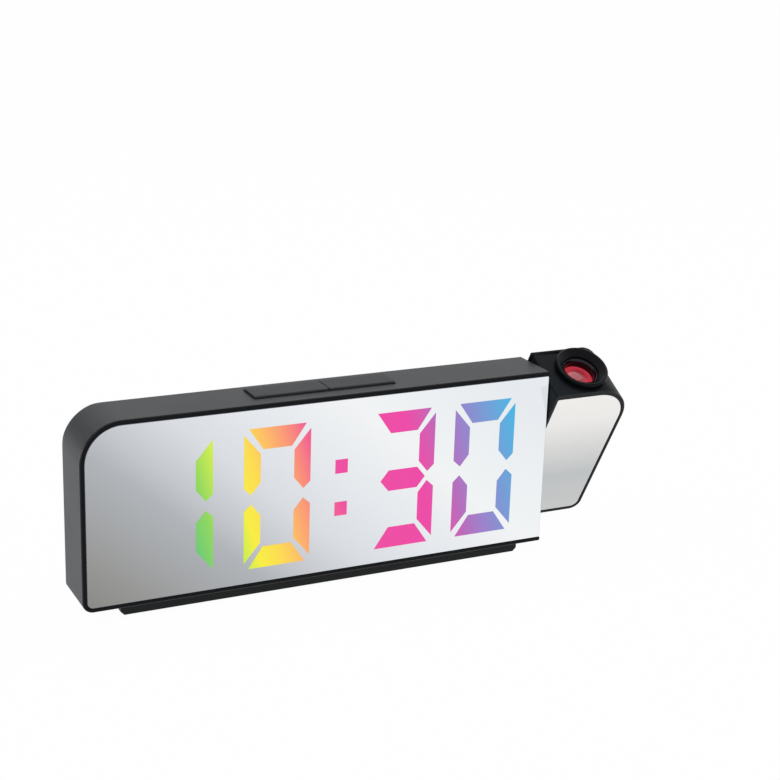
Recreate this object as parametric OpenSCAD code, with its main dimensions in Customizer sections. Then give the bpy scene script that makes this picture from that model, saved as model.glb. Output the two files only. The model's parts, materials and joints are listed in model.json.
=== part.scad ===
// Mirror-faced projection alarm clock with a swinging projector arm at its right end.
// Millimetres. X runs along the clock to the right, Y runs to the back, Z is up.
// The origin is the middle of the anti-slip strip's underside, under the housing's centre.

/* [Housing] */
// Length of the housing
body_l = 183; // [170:1:200]
// Height of the housing at its front
body_h = 69.1; // [67:0.1:76]
// Depth of the housing
body_d = 22; // [21.5:0.1:25]
// Radius of the upper left corner
corner_top_r = 15.3; // [10:0.1:18]
// Radius of the lower left corner
corner_low_r = 4; // [3:0.1:8]
// Radius of the square-looking corners
edge_r = 0.6; // [0.2:0.1:1.5]
// Thickness of the housing's top and left walls
wall = 2; // [1.5:0.1:2.4]
// Thickness of the right end wall, which carries the arm
end_wall = 2.4; // [2:0.1:3]
// Thickness of the floor at the front
floor_t = 4; // [3.5:0.1:4.5]
// How far the underside rises from front to back
underside_rise = 2; // [0:0.1:2.4]
// Thickness of the rear cover
cover_t = 2.5; // [2.5:0.1:3]
// Rounding of the rear edges
rear_edge_r = 1; // [1:0.1:2.4]

/* [Mirror] */
// Border of the housing at the left of the mirror
rim_side = 1.8; // [1.2:0.1:3]
// Border above the mirror
rim_top = 1.9; // [1.2:0.1:2.5]
// Border below the mirror
rim_low = 1.5; // [1:0.1:2.5]
// Thickness of the mirror panel
mirror_t = 2; // [1.5:0.1:2.5]
// Depth of the mirror's face below the border
mirror_recess = 0.2; // [0.15:0.05:0.5]
// Gap round the mirror panel
mirror_gap = 0.1; // [0.05:0.05:0.2]
// Thickness of the plate behind the mirror
plate_t = 1.2; // [1:0.1:1.5]

/* [Digits] */
// Width of one digit
digit_w = 25.5; // [22:0.1:26]
// Height of the digits
digit_h = 53; // [48:0.5:53]
// Height of the digits' middle above the table
digit_z = 38.5; // [38.2:0.1:39]
// Middle of the tens of hours from the housing's left end
hours_inset = 34.9; // [34.5:0.1:36.5]
// Distance between the two digits of the hours
hours_pitch = 37.1; // [36.4:0.1:38.4]
// Middle of the minutes from the housing's right end
minutes_inset = 27; // [25.5:0.1:27.5]
// Distance between the two digits of the minutes
minutes_pitch = 33.9; // [33.2:0.1:35.2]
// How far the colon stands right of the middle between its digits
colon_shift = 0; // [-1.9:0.1:1.1]
// Width of an upright segment
side_w = 6.3; // [5:0.1:7]
// Height of a level segment
bar_h = 8; // [6:0.1:8.5]
// Width of a colon dot
dot_w = 4.9; // [4:0.1:6]
// Height of a colon dot
dot_h = 5.3; // [4:0.1:6]
// Distance of each colon dot from the digits' middle
dot_rise = 8.2; // [6:0.1:10]
// Thickness of the lit image on the mirror's face
light_t = 0.1; // [0.05:0.01:0.12]

/* [Display] */
// Thickness of the diffuser film
film_t = 0.4; // [0.3:0.1:0.6]
// Depth of the reflector block
reflector_t = 6.6; // [6:0.1:6.8]
// Border of the reflector block round the digits
reflector_border = 2; // [1.5:0.1:2.2]
// Gap round the reflector in its window
window_gap = 0.2; // [0.1:0.05:0.3]
// Thickness of every circuit board
board_t = 1.6; // [1.2:0.1:1.6]
// Width of a light-emitting chip
led_w = 3.4; // [2:0.1:4]
// Height of a light-emitting chip
led_h = 2.8; // [2:0.1:3.4]
// Thickness of a light-emitting chip
led_t = 1.6; // [1:0.1:2]

/* [Main board] */
// Width of the main board
main_w = 84; // [80:1:88]
// Height of the main board
main_h = 40; // [38:0.5:41]
// Middle of the main board
main_x = -20; // [-22:0.5:-18]
// Underside of the main board above the table
main_z = 14; // [13:0.5:15]
// Gap between the display board and the main board
board_gap = 1.4; // [1.3:0.1:1.6]
// Diameter of the buzzer
buzzer_d = 12; // [9:0.5:14]
// Height of the buzzer
buzzer_t = 5; // [4:0.1:5.4]
// Width of the power socket
socket_w = 9; // [8.8:0.1:9.2]
// Height of the power socket
socket_h = 3.3; // [3.1:0.1:3.6]
// Thickness of the power socket's shell
socket_wall = 0.35; // [0.3:0.05:0.4]

/* [Top keys] */
// Left end of the key strip
keys_x0 = -26; // [-28:0.1:-24]
// Right end of the key strip
keys_x1 = 29.1; // [27:0.1:31]
// Where the strip is divided
keys_split = 2.8; // [0:0.1:6]
// Front edge of the keys from the housing's middle
keys_y0 = -4.8; // [-5:0.1:-4]
// Back edge of the keys from the housing's middle
keys_y1 = 5.9; // [5.5:0.1:6.2]
// Height of the keys above the housing
key_proud = 0.9; // [0.5:0.1:1.5]
// Gap round the keys
key_gap = 0.4; // [0.3:0.05:0.6]
// Travel of the keys
key_travel = 1; // [0.6:0.1:1.1]

/* [Rear buttons] */
// Diameter of a rear button
button_d = 6; // [5:0.1:7]
// Height of a rear button above the cover
button_proud = 1; // [0.8:0.1:1.5]
// Distance between rear buttons
button_pitch = 13; // [11:0.5:14]
// Travel of the rear buttons
button_travel = 0.6; // [0.4:0.05:0.6]
// Drop of the rear buttons below the main board's top
button_drop = 7; // [6:0.5:9]

/* [Battery] */
// Diameter of the coin cell
cell_d = 20; // [16:0.5:20]
// Thickness of the coin cell
cell_t = 3.2; // [2:0.1:3.2]
// Middle of the cell
cell_x = 48; // [46:0.5:56]
// Height of the cell's middle above the table
cell_z = 32; // [28:0.5:36]
// Diameter of the battery door
door_d = 25.8; // [25:0.1:27]
// Thickness of the battery door
door_t = 1.9; // [1.7:0.05:1.9]
// Turn of the battery door to its open place
door_turn = 40; // [30:1:50]

/* [Hinge] */
// Drop of the hinge axis below the housing's top
pivot_drop = 16.6; // [16:0.1:18]
// Distance of the hinge axis behind the housing's middle
pivot_y = 2.2; // [1.8:0.1:2.6]
// Diameter of the hinge shaft
shaft_d = 8; // [7:0.1:8.4]
// Diameter of the wire bore through the shaft
shaft_bore_d = 4.6; // [3:0.1:5]
// Wall of the hinge bush
bush_wall = 1; // [0.8:0.1:1.2]
// Diameter of the bush's flange and the washers
flange_d = 12.2; // [11.6:0.1:12.3]
// Radial clearance of the shaft in its bush
running_gap = 0.05; // [0.02:0.01:0.1]

/* [Arm] */
// Width of the projector arm
arm_w = 35; // [34.6:0.1:37]
// Depth of the arm
arm_d = 24.9; // [24.3:0.1:26]
// How far the arm reaches below the housing's underside
arm_drop = 1.8; // [1:0.1:2.3]
// Radius of the arm's upper right corner
arm_top_r = 15.3; // [13:0.1:16]
// Radius of the arm's lower right corner
arm_low_r = 4.5; // [3:0.1:6]
// Gap between the housing and the arm
arm_gap = 0.3; // [0.2:0.05:0.5]
// Turn of the arm in the photographed pose, top towards the front
arm_tilt = 29; // [0:0.1:45]
// Border of the arm round its mirror
arm_rim = 1.4; // [1.2:0.1:2.5]
// Border of the arm at the left of its mirror
arm_rim_left = 0.9; // [0.6:0.1:1.5]

/* [Projector] */
// Distance of the projector's axis left of the arm's middle
axis_left = 1; // [0.5:0.1:1.1]
// Distance of the projector's axis in front of the middle of the arm's hollow
axis_front = 0.4; // [0.2:0.1:0.5]
// Outer diameter of the focus ring
ring_d = 21; // [20.4:0.1:22]
// Height of the focus ring above the arm
ring_proud = 2.3; // [1.8:0.1:4]
// Diameter of the hole for the ring's skirt
ring_hole_d = 16.2; // [16:0.1:16.4]
// Wall of the collar that carries the ring over the arm's round corner
collar_wall = 1.6; // [1.2:0.1:1.8]
// Diameter of the lens barrel
barrel_d = 13.8; // [13.4:0.1:13.9]
// Diameter of the clear opening in the barrel
lens_d = 12; // [11:0.1:12.2]
// Length of the lens barrel
barrel_l = 20; // [18:0.5:21]
// Rise of the barrel over one turn of the ring
helix_pitch = 3.2; // [2:0.1:3.6]
// Turn of the focus ring each way
focus_turn = 90; // [60:5:90]
// Outer diameter of the projector tube
tube_d = 17; // [16.8:0.1:17.1]
// Length of the projector tube
tube_l = 24; // [22:0.5:25]
// Length of the lamp housing
lamp_l = 12; // [11:0.5:13]
// Side of the display slide
slide_w = 11; // [10:0.1:11.2]
// Thickness of the display slide
slide_t = 1.1; // [0.8:0.1:1.3]

/* [Foot] */
// Distance of the foot rail from the housing's left end
foot_left = 14.4; // [13.5:0.1:17.5]
// Distance of the foot rail from the housing's right end
foot_right = 8.6; // [7.5:0.1:11.5]
// Depth of the foot rail
foot_d = 16; // [14:0.5:17]
// Height of the foot rail's front below the housing, with its strip
foot_h = 4.8; // [4.8:0.1:6]
// Chamfer at the foot rail's ends
foot_chamfer = 1.4; // [0.6:0.1:1.8]
// Distance of the anti-slip strip from each end of the rail
strip_inset = 12.4; // [10.4:0.1:19.4]
// Depth of the anti-slip strip
strip_d = 12; // [10:0.5:12.5]
// Thickness of the anti-slip strip
strip_t = 1.2; // [0.8:0.1:1.4]
// How far the strip stands below the rail
strip_proud = 0.6; // [0.4:0.1:0.7]

/* [Screws] */
// Shank diameter of the screws
screw_d = 2.4; // [2:0.1:2.6]
// Head diameter of the screws
head_d = 4.4; // [4:0.1:4.6]
// Height of a screw head
head_t = 1.4; // [1:0.1:1.5]
// Shank diameter of the small board screws
small_screw_d = 1.8; // [1.6:0.1:2]
// Head diameter of the small board screws
small_head_d = 3.6; // [3:0.1:3.8]
// Height of a small screw head
small_head_t = 0.8; // [0.6:0.1:1]
// Radial clearance of a screw in its hole
screw_gap = 0.1; // [0.05:0.05:0.15]
// Diameter of a screw boss
boss_d = 6; // [5.4:0.1:6.2]
// Diameter of a board post
post_d = 5; // [4.4:0.1:5.4]

/* [Hidden] */
$fn = 64;
cut = 1; // how far a cutting shape runs past what it cuts
sink = 0.2; // how far a boss or rib is sunk into what carries it
boss_bite = 0.4; // how far a boss runs into the wall beside it

// Housing faces
body_x0 = -body_l / 2;
body_x1 = body_l / 2;
front_y = -body_d / 2;
rear_y = body_d / 2;
seam_y = rear_y - cover_t;
body_z0 = foot_h;
body_z1 = foot_h + body_h;
mirror_y = front_y + mirror_recess;
plate_y0 = mirror_y + mirror_t;
plate_y1 = plate_y0 + plate_t;
inner_x0 = body_x0 + wall;
inner_x1 = body_x1 - end_wall;
inner_z0 = body_z0 + floor_t;
inner_z1 = body_z1 - wall;

// Display stack, from the mirror to the back
film_y1 = plate_y0 + film_t;
reflector_y1 = film_y1 + reflector_t;
display_y1 = reflector_y1 + board_t;
main_y0 = display_y1 + board_gap;
main_y1 = main_y0 + board_t;
main_x0 = main_x - main_w / 2;
main_x1 = main_x + main_w / 2;
main_z1 = main_z + main_h;

// Digits and colon: the hours keep to the left end, the minutes to the right end
digit_1_x = body_x0 + hours_inset;
digit_2_x = digit_1_x + hours_pitch;
digit_4_x = body_x1 - minutes_inset;
digit_3_x = digit_4_x - minutes_pitch;
colon_x = (digit_2_x + digit_3_x) / 2 + colon_shift;

// Reflector block, and the ears of the display board with their posts
block_x0 = digit_1_x - digit_w / 2 - reflector_border;
block_x1 = digit_4_x + digit_w / 2 + reflector_border;
block_low_border = reflector_border - 0.5;
block_z0 = digit_z - digit_h / 2 - block_low_border;
block_z1 = digit_z + digit_h / 2 + reflector_border;
left_ear_reach = 6.2;
right_ear_reach = 4;
left_ear_x = block_x0 - left_ear_reach;
right_ear_x = block_x1 + right_ear_reach;
left_post_insets = [6, 8];
right_post_rises = [12, 32];
left_posts_z = [block_z0 + left_post_insets[0], block_z1 - left_post_insets[1]];
right_posts_z = [for (rise = right_post_rises) block_z0 + rise];
ear_margin = 4;

// Digits: which segments are lit, in the order a to g
level_slit = [1.8, 7.3];
upright_slit = [2.2, 9.6];
waist = [1.8, 4.3, 6.2];
waist_tip = 2.7;
middle_inset = [3.6, 6.9];
lit_one = [0, 1, 1, 0, 0, 0, 0];
lit_zero = [1, 1, 1, 1, 1, 1, 0];
lit_three = [1, 1, 1, 1, 0, 0, 1];
lit_all = [1, 1, 1, 1, 1, 1, 1];
digits_x = [digit_1_x, digit_2_x, digit_3_x, digit_4_x];
digits_lit = [lit_one, lit_zero, lit_three, lit_zero];

// Screw places of the rear cover
corner_reach = (corner_top_r - wall - boss_d / 2 + boss_bite) * sqrt(0.5);
boss_inset = boss_d / 2 - boss_bite;
cover_screws = [
    [inner_x0 + boss_inset, inner_z0 + boss_inset],
    [body_x0 + corner_top_r - corner_reach, body_z1 - corner_top_r + corner_reach],
    [inner_x1 - boss_inset, inner_z0 + boss_inset],
    [inner_x1 - boss_inset, inner_z1 - boss_inset]
];
cover_screw_l = 10;

// Main board's own places
board_screw_inset = 4;
board_screws_xz = [
    for (x = [main_x0 + board_screw_inset, main_x1 - board_screw_inset])
        for (z = [main_z + board_screw_inset, main_z1 - board_screw_inset]) [x, z]
];
board_screw_l = 5;
header_w = 28;
header_h = 2.5;
header_z = main_z + 3;
chip_w = 12;
chip_t = 1.6;
chip_x = main_x - 8;
chip_z = main_z + 10;
driver_w = 6;
driver_h = 4;
driver_x = main_x + 9;
driver_drop = 3.5;
capacitor_d = 5;
capacitor_t = 4.4;
capacitor_x = main_x + 12;
plug_drop = 14;
capacitor_z = main_z1 - plug_drop;
driver_z = capacitor_z - capacitor_d / 2 - driver_drop - driver_h;
plug_w = 9;
plug_h = 6;
plug_t = 5;
plug_z = main_z1 - plug_drop;
buzzer_inset = 14;
buzzer_x = main_x0 + buzzer_inset;
buzzer_z = main_z + buzzer_inset;
buzzer_hole_d = 2;
buzzer_hole_t = 1.5;
vent_w = 10;
vent_h = 1.2;
vent_pitch = 2.6;
socket_x = main_x1 - 15;
socket_z = main_z + 6;
socket_y1 = rear_y - 0.6;
socket_back_t = 1.2;
tongue_t = 0.7;
tongue_setback = 0.8;
first_button = 10;
button_count = 5;
buttons_x = [for (i = [0:button_count - 1]) main_x0 + first_button + i * button_pitch];
button_z = main_z1 - button_drop;
switch_w = 6;
switch_t = 3.5;
plunger_d = 3.4;
plunger_t = 0.5;
button_flange_d = 8;
button_flange_t = 0.95;
flange_play = 0.05;
button_gap = 0.1;

// Keys
key_flange = 0.8;
key_flange_t = 1;
key_stem_d = 4;
key_stem_t = 0.5;
key_board_drop = 7.8;
key_board_reach = 9;
key_board_z1 = body_z1 - key_board_drop;
key_board_z0 = key_board_z1 - board_t;
key_board_y0 = display_y1 + 0.4;
key_board_y1 = seam_y - 0.7;
key_board_x0 = keys_x0 - key_board_reach;
key_board_x1 = keys_x1 + key_board_reach;
key_screw_l = board_t + 4;
key_hole_t = 5;
lead_x = main_x + 24;
lead_w = 8;
lead_t = 0.3;
lead_lap = 2;
key_switch_t = 2.5;
key_plunger_t = 0.4;
key_switch_y = (key_board_y0 + key_board_y1) / 2;
key_middles = [(keys_x0 + keys_split) / 2, (keys_split + keys_x1) / 2];
key_post_w = 6;
key_screws_x = [key_board_x0 + key_post_w / 2, key_board_x1 - key_post_w / 2];
key_split_gap = 0.3;
key_bevel = 0.4;
key_flange_gap = 0.3;

// Battery well and its twist door
well_wall = 1.4;
well_gap = 0.8;
well_floor_t = 1.2;
door_gap = 0.1;
door_y0 = rear_y - 0.05 - door_t;
lug_reach = 1.4;
lug_t = 0.65;
lug_angle = 26;
entry_gap = 0.2;
door_slot_l = 16;
door_slot_w = 2;
door_slot_t = 1;
pad_t = 1.2;
cell_y1 = door_y0 - 0.25;
cell_y0 = cell_y1 - cell_t;
contact_t = 0.3;
contact_l = 16;
contact_w = 4;
cell_step = 0.4;
cell_neck_d = cell_d - 2.6;
pad_reach = 1.5;
lip_l = 1.5;
lip_gap = 0.15;
lip_t = 1.2;
well_floor_y1 = cell_y0 - contact_t;

// Foot
foot_x0 = body_x0 + foot_left;
foot_x1 = body_x1 - foot_right;
foot_boss_t = 2.8;
foot_screw_y = 3.5;
foot_screw_inset = 4.4;
foot_screws_x = [foot_x0 + foot_screw_inset, foot_x1 - foot_screw_inset];
strip_x0 = foot_x0 + strip_inset;
strip_x1 = foot_x1 - strip_inset;
strip_gap = 0.1;
function underside(y) = body_z0 + underside_rise * (y - front_y) / body_d;

// Hinge
pivot_z = body_z1 - pivot_drop;
bush_flange_t = 1;
shaft_x0 = body_x1 - 9;
washer_t = 0.8;
washer_gap = 0.05;
ring_clip_t = 0.8;
ring_clip_d = 11;
bush_d = shaft_d + 2 * running_gap + 2 * bush_wall;
shaft_flange_d = 14;
shaft_flange_t = 1.6;
groove_depth = 0.7;
groove_x0 = shaft_x0 + 1;
washer_x1 = inner_x1 - bush_flange_t - washer_gap;

// Arm, in its closed pose beside the housing
arm_x0 = body_x1 + arm_gap;
arm_x1 = arm_x0 + arm_w;
arm_y1 = front_y + arm_d;
arm_seam_y = arm_y1 - cover_t;
arm_z0 = body_z0 - arm_drop;
arm_z1 = body_z1;
arm_in_x0 = arm_x0 + wall;
arm_in_x1 = arm_x1 - wall;
arm_in_z0 = arm_z0 + wall;
arm_in_z1 = arm_z1 - wall;
arm_post_inset = post_d / 2 - boss_bite;
// the upper right post leans on the large corner's wall, at this angle above level
arm_post_angle = 25;
arm_post_reach = arm_top_r - wall - arm_post_inset;
arm_screws_xz = [
    [arm_in_x0 + arm_post_inset, arm_in_z0 + arm_post_inset],
    [arm_in_x0 + arm_post_inset, arm_in_z1 - arm_post_inset],
    [arm_in_x1 - arm_post_inset, arm_in_z0 + arm_post_inset],
    [arm_x1 - arm_top_r + arm_post_reach * cos(arm_post_angle),
        arm_z1 - arm_top_r + arm_post_reach * sin(arm_post_angle)]
];

// Projector, on the arm's own upright axis
axis_x = (arm_x0 + arm_x1) / 2 - axis_left;
axis_y = (plate_y1 + arm_seam_y) / 2 - axis_front;
collar_sink = 0.5;
lip_room = 0.3;
ring_float = 0.3;
ring_edge = 0.5;
ring_z0 = arm_z1 + ring_float;
ring_z1 = arm_z1 + ring_proud;
ring_lip_d = ring_hole_d + 0.8;
skirt_gap = 0.2;
ring_lip_t = 1;
ring_lip_slope = 0.6;
ring_lip_z1 = arm_in_z1 - ring_float;
barrel_gap = 0.1;
focus_reach = helix_pitch * focus_turn / 360;
ring_skirt_l = 9.8;
ring_skirt_z0 = arm_z1 - ring_skirt_l;
barrel_drop = 0.5;
barrel_z1 = arm_z1 - barrel_drop;
barrel_z0 = barrel_z1 - barrel_l;
cone_z0 = barrel_z1 + focus_reach + barrel_gap;
tube_z1 = ring_skirt_z0 - 0.8;
tube_z0 = tube_z1 - tube_l;
tube_bore_z0 = barrel_z0 - focus_reach - 2;
light_bore_d = 9.6;
slip_gap = 0.1;
key_rib_w = 1.2;
key_rib_h = 0.7;
key_rib_stop = 1.5;
barrel_ledge = 0.8;
barrel_edge = 0.3;
front_seat = 4.9;
front_lens_t = 2.8;
rear_lip = 0.4;
rear_lens_t = 3;
lens_dome_r = lens_d * 1.1;
lamp_z0 = tube_z0 - lamp_l;
lens_seat_d = 12.8;
lens_ledge = 2;
condenser_t = 3.5;
lamp_board_z1 = lamp_z0;
lamp_board_z0 = lamp_z0 - board_t;
lamp_board_x0 = arm_in_x0 + 1.6;
lamp_screw_reach = 6.7;
lamp_screw_l = 5;
lamp_hole_l = 6;
lamp_head_d = small_head_d - 0.4;
emitter_w = 5;
emitter_t = 1.4;
emitter_dome_d = 4;
saddle_z = [tube_z0 + 3, tube_z1 - 6];
saddle_t = 3;
saddle_side = 2;
saddle_reach = 3;
rib_w = 8;
rib_reach = 6;
arm_head_recess = 0.5;
clip_slot_w = 3;

// Wires: each free stretch keeps its hand-chosen points
wire_d = 2;
wire_sides = 8;
plug_y = main_y1 + plug_t / 2;
plug_mid_z = plug_z + plug_h / 2;
body_wire = [
    [main_x1, plug_y, plug_mid_z], [main_x1 + 3, plug_y, plug_mid_z], [main_x1 + 6.5, 5.2, plug_mid_z + 2.5],
    [main_x1 + 10.5, 5, plug_mid_z + 6.5], [main_x1 + 16, 4.7, pivot_z - 4.1], [main_x1 + 23, 4.4, pivot_z - 1.3],
    [shaft_x0 - 30.5, 4, pivot_z + 0.3], [shaft_x0 - 22.5, 3.4, pivot_z + 0.7],
    [shaft_x0 - 15.5, 2.8, pivot_z + 0.4], [shaft_x0 - 9.5, 2.3, pivot_z + 0.1],
    [shaft_x0 - 4.5, pivot_y, pivot_z], [shaft_x0 - 0.2, pivot_y, pivot_z]
];
down_x = arm_in_x0 + 4.3;
arm_wire = [
    [shaft_x0 + 0.1, pivot_y, pivot_z], [body_x1 - 1.5, pivot_y, pivot_z], [arm_in_x0 + 1.2, pivot_y, pivot_z],
    [down_x - 1.5, pivot_y, pivot_z - 0.4], [down_x - 0.4, pivot_y, pivot_z - 1.5],
    [down_x, pivot_y, pivot_z - 3.1], [down_x, pivot_y, pivot_z - 11.3], [down_x, pivot_y, pivot_z - 23.3],
    [down_x, pivot_y, lamp_board_z1]
];

// ---------- Shapes that repeat ----------

// Extrudes a drawing made in X and Z along Y
module along_y(y0, y1) translate([0, y1, 0]) rotate([90, 0, 0]) linear_extrude(y1 - y0) children();

// Extrudes a drawing made in Y and Z along X
module along_x(x0, x1) translate([x0, 0, 0]) rotate([90, 0, 90]) linear_extrude(x1 - x0) children();

// A rectangle with its own radius at each corner: upper left, upper right, lower left, lower right
module outline(x0, x1, z0, z1, ul, ur, ll, lr) {
    polygon([[x0 + ll, z0], [x1 - lr, z0], [x1, z0 + lr], [x1, z1 - ur],
        [x1 - ur, z1], [x0 + ul, z1], [x0, z1 - ul], [x0, z0 + ll]]);
    translate([x0 + ul, z1 - ul]) circle(ul);
    translate([x1 - ur, z1 - ur]) circle(ur);
    translate([x0 + ll, z0 + ll]) circle(ll);
    translate([x1 - lr, z0 + lr]) circle(lr);
}

module box(x0, x1, y0, y1, z0, z1) translate([x0, y0, z0]) cube([x1 - x0, y1 - y0, z1 - z0]);

module rod_y(x, z, d, y0, y1) translate([x, y1, z]) rotate([90, 0, 0]) cylinder(d = d, h = y1 - y0);

module rod_x(y, z, d, x0, x1) translate([x0, y, z]) rotate([0, 90, 0]) cylinder(d = d, h = x1 - x0);

module rod_z(x, y, d, z0, z1) translate([x, y, z0]) cylinder(d = d, h = z1 - z0);

module tube_x(y, z, d, bore, x0, x1) difference() {
    rod_x(y, z, d, x0, x1);
    rod_x(y, z, bore, x0 - cut, x1 + cut);
}

// A pan-head screw along Y with its head's underside at y, its tip at y + l
module screw_y(x, z, y, l, d, hd, ht) {
    rod_y(x, z, d, min(y, y + l), max(y, y + l));
    difference() {
        rod_y(x, z, hd, l > 0 ? y - ht : y, l > 0 ? y : y + ht);
        translate([x, l > 0 ? y - ht : y + ht, z]) rotate([0, 45, 0])
            cube([hd * 0.7, ht, hd * 0.16], center = true);
        translate([x, l > 0 ? y - ht : y + ht, z]) rotate([0, -45, 0])
            cube([hd * 0.7, ht, hd * 0.16], center = true);
    }
}

// A round wire through a list of points
function unit(v) = v / norm(v);
function heading(p, i) = unit(p[min(i + 1, len(p) - 1)] - p[max(i - 1, 0)]);
function wire_ring(c, t, d) =
    let (u = unit(cross(t, [0, 1, 0])), v = cross(t, u))
    [for (k = [0:wire_sides - 1]) c + d / 2 * (cos(360 * k / wire_sides) * u + sin(360 * k / wire_sides) * v)];
module wire(p, d) {
    n = wire_sides;
    last = (len(p) - 1) * n;
    polyhedron(
        points = [for (i = [0:len(p) - 1]) each wire_ring(p[i], heading(p, i), d)],
        faces = concat(
            [for (k = [1:n - 2]) [0, k, k + 1]],
            [for (k = [1:n - 2]) [last, last + k + 1, last + k]],
            [for (i = [0:len(p) - 2]) for (k = [0:n - 1]) [i * n + k, (i + 1) * n + k, i * n + (k + 1) % n]],
            [for (i = [0:len(p) - 2]) for (k = [0:n - 1])
                [i * n + (k + 1) % n, (i + 1) * n + k, (i + 1) * n + (k + 1) % n]]
        )
    );
}

// Turns the closed arm about the hinge to the photographed pose
module arm_pose() translate([0, pivot_y, pivot_z]) rotate([arm_tilt, 0, 0])
    translate([0, -pivot_y, -pivot_z]) children();

// ---------- Housing ----------

module housing_outline() outline(body_x0, body_x1, body_z0, body_z1,
    corner_top_r, edge_r, corner_low_r, edge_r);

// The mirror's outline grown by g; at the right end it runs out by run
module mirror_outline(g, run) outline(body_x0 + rim_side - g, body_x1 + run,
    body_z0 + rim_low - g, body_z1 - rim_top + g,
    corner_top_r - rim_side + g, edge_r, corner_low_r - rim_side + g, edge_r);

module cavity_outline() outline(inner_x0, inner_x1, inner_z0, inner_z1,
    corner_top_r - wall, edge_r, corner_low_r - wall, edge_r);

// What lies under the rising underside
module underside_cut() along_x(body_x0 - cut, body_x1 + cut)
    polygon([[front_y, body_z0], [rear_y, body_z0 + underside_rise],
        [rear_y + cut, body_z0 + underside_rise], [rear_y + cut, body_z0 - cut], [front_y, body_z0 - cut]]);

module window(g, y0, y1) box(block_x0 - g, block_x1 + g, y0, y1, block_z0 - g, block_z1 + g);

module housing_shell() color([0.16, 0.17, 0.18]) difference() {
    union() {
        difference() {
            along_y(front_y, seam_y) housing_outline();
            along_y(front_y - cut, plate_y0) mirror_outline(mirror_gap, cut);
            along_y(plate_y1, seam_y + cut) cavity_outline();
            window(window_gap, plate_y0 - cut, plate_y1 + cut);
        }
        for (s = cover_screws) rod_y(s[0], s[1], boss_d, plate_y1 - sink, seam_y);
        for (z = left_posts_z) rod_y(left_ear_x, z, post_d, plate_y1 - sink, reflector_y1);
        for (z = right_posts_z) rod_y(right_ear_x, z, post_d, plate_y1 - sink, reflector_y1);
        // hangers of the key board
        for (x = key_screws_x) box(x - key_post_w / 2, x + key_post_w / 2,
            key_board_y0, key_board_y1, key_board_z1, inner_z1 + sink);
        for (x = foot_screws_x) rod_z(x, foot_screw_y, boss_d, inner_z0 - sink, inner_z0 + foot_boss_t);
    }
    underside_cut();
    for (s = cover_screws) rod_y(s[0], s[1], screw_d + 2 * screw_gap, seam_y - cover_screw_l, seam_y + cut);
    for (z = left_posts_z) rod_y(left_ear_x, z, small_screw_d + 2 * screw_gap, plate_y1 + 1, reflector_y1 + cut);
    for (z = right_posts_z) rod_y(right_ear_x, z, small_screw_d + 2 * screw_gap, plate_y1 + 1, reflector_y1 + cut);
    for (x = key_screws_x) rod_z(x, key_switch_y, small_screw_d + 2 * screw_gap,
        key_board_z1 - cut, key_board_z1 + key_hole_t);
    for (x = foot_screws_x) rod_z(x, foot_screw_y, screw_d + 2 * screw_gap,
        body_z0 - cut, inner_z0 + foot_boss_t + cut);
    // opening of the top keys
    box(keys_x0 - key_gap, keys_x1 + key_gap, keys_y0 - key_gap, keys_y1 + key_gap,
        inner_z1 - cut, body_z1 + cut);
    // hole of the hinge bush
    rod_x(pivot_y, pivot_z, bush_d + 2 * screw_gap, inner_x1 - cut, body_x1 + cut);
}

module mirror_panel() color([0.8, 0.82, 0.84]) along_y(mirror_y, plate_y0) mirror_outline(0, 0);

// ---------- Digits ----------

// The seven segments of a digit: a top, b upper right, c lower right, d bottom,
// e lower left, f upper left, g middle
module level_segment() {
    w = digit_w / 2;
    h = digit_h / 2;
    polygon([[-w + level_slit[0], h], [w - level_slit[0], h],
        [w - level_slit[1], h - bar_h], [-w + level_slit[1], h - bar_h]]);
}

module upright_segment() {
    w = digit_w / 2;
    h = digit_h / 2;
    polygon([[w, h - upright_slit[0]], [w - side_w, h - upright_slit[1]],
        [w - side_w, waist[2]], [w - waist_tip, waist[0]], [w, waist[1]]]);
}

module middle_segment() {
    w = digit_w / 2;
    polygon([[-w + middle_inset[0], 0], [-w + middle_inset[1], bar_h / 2], [w - middle_inset[1], bar_h / 2],
        [w - middle_inset[0], 0], [w - middle_inset[1], -bar_h / 2], [-w + middle_inset[1], -bar_h / 2]]);
}

module digit(lit) {
    if (lit[0]) level_segment();
    if (lit[1]) upright_segment();
    if (lit[2]) mirror([0, 1]) upright_segment();
    if (lit[3]) mirror([0, 1]) level_segment();
    if (lit[4]) mirror([1, 0]) mirror([0, 1]) upright_segment();
    if (lit[5]) mirror([1, 0]) upright_segment();
    if (lit[6]) middle_segment();
}

module colon_dots() for (s = [-1, 1]) translate([colon_x, digit_z + s * dot_rise])
    square([dot_w, dot_h], center = true);

module lit_time() color([0.93, 0.35, 0.65]) along_y(mirror_y - light_t, mirror_y) {
    for (i = [0:3]) translate([digits_x[i], digit_z]) digit(digits_lit[i]);
    colon_dots();
}

module diffuser_film() color([0.9, 0.9, 0.9]) window(0, plate_y0, film_y1);

module segment_reflector() color([0.1, 0.1, 0.11]) difference() {
    window(0, film_y1, reflector_y1);
    along_y(film_y1 - cut, reflector_y1 + cut) {
        for (i = [0:3]) translate([digits_x[i], digit_z]) digit(lit_all);
        colon_dots();
    }
}

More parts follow.
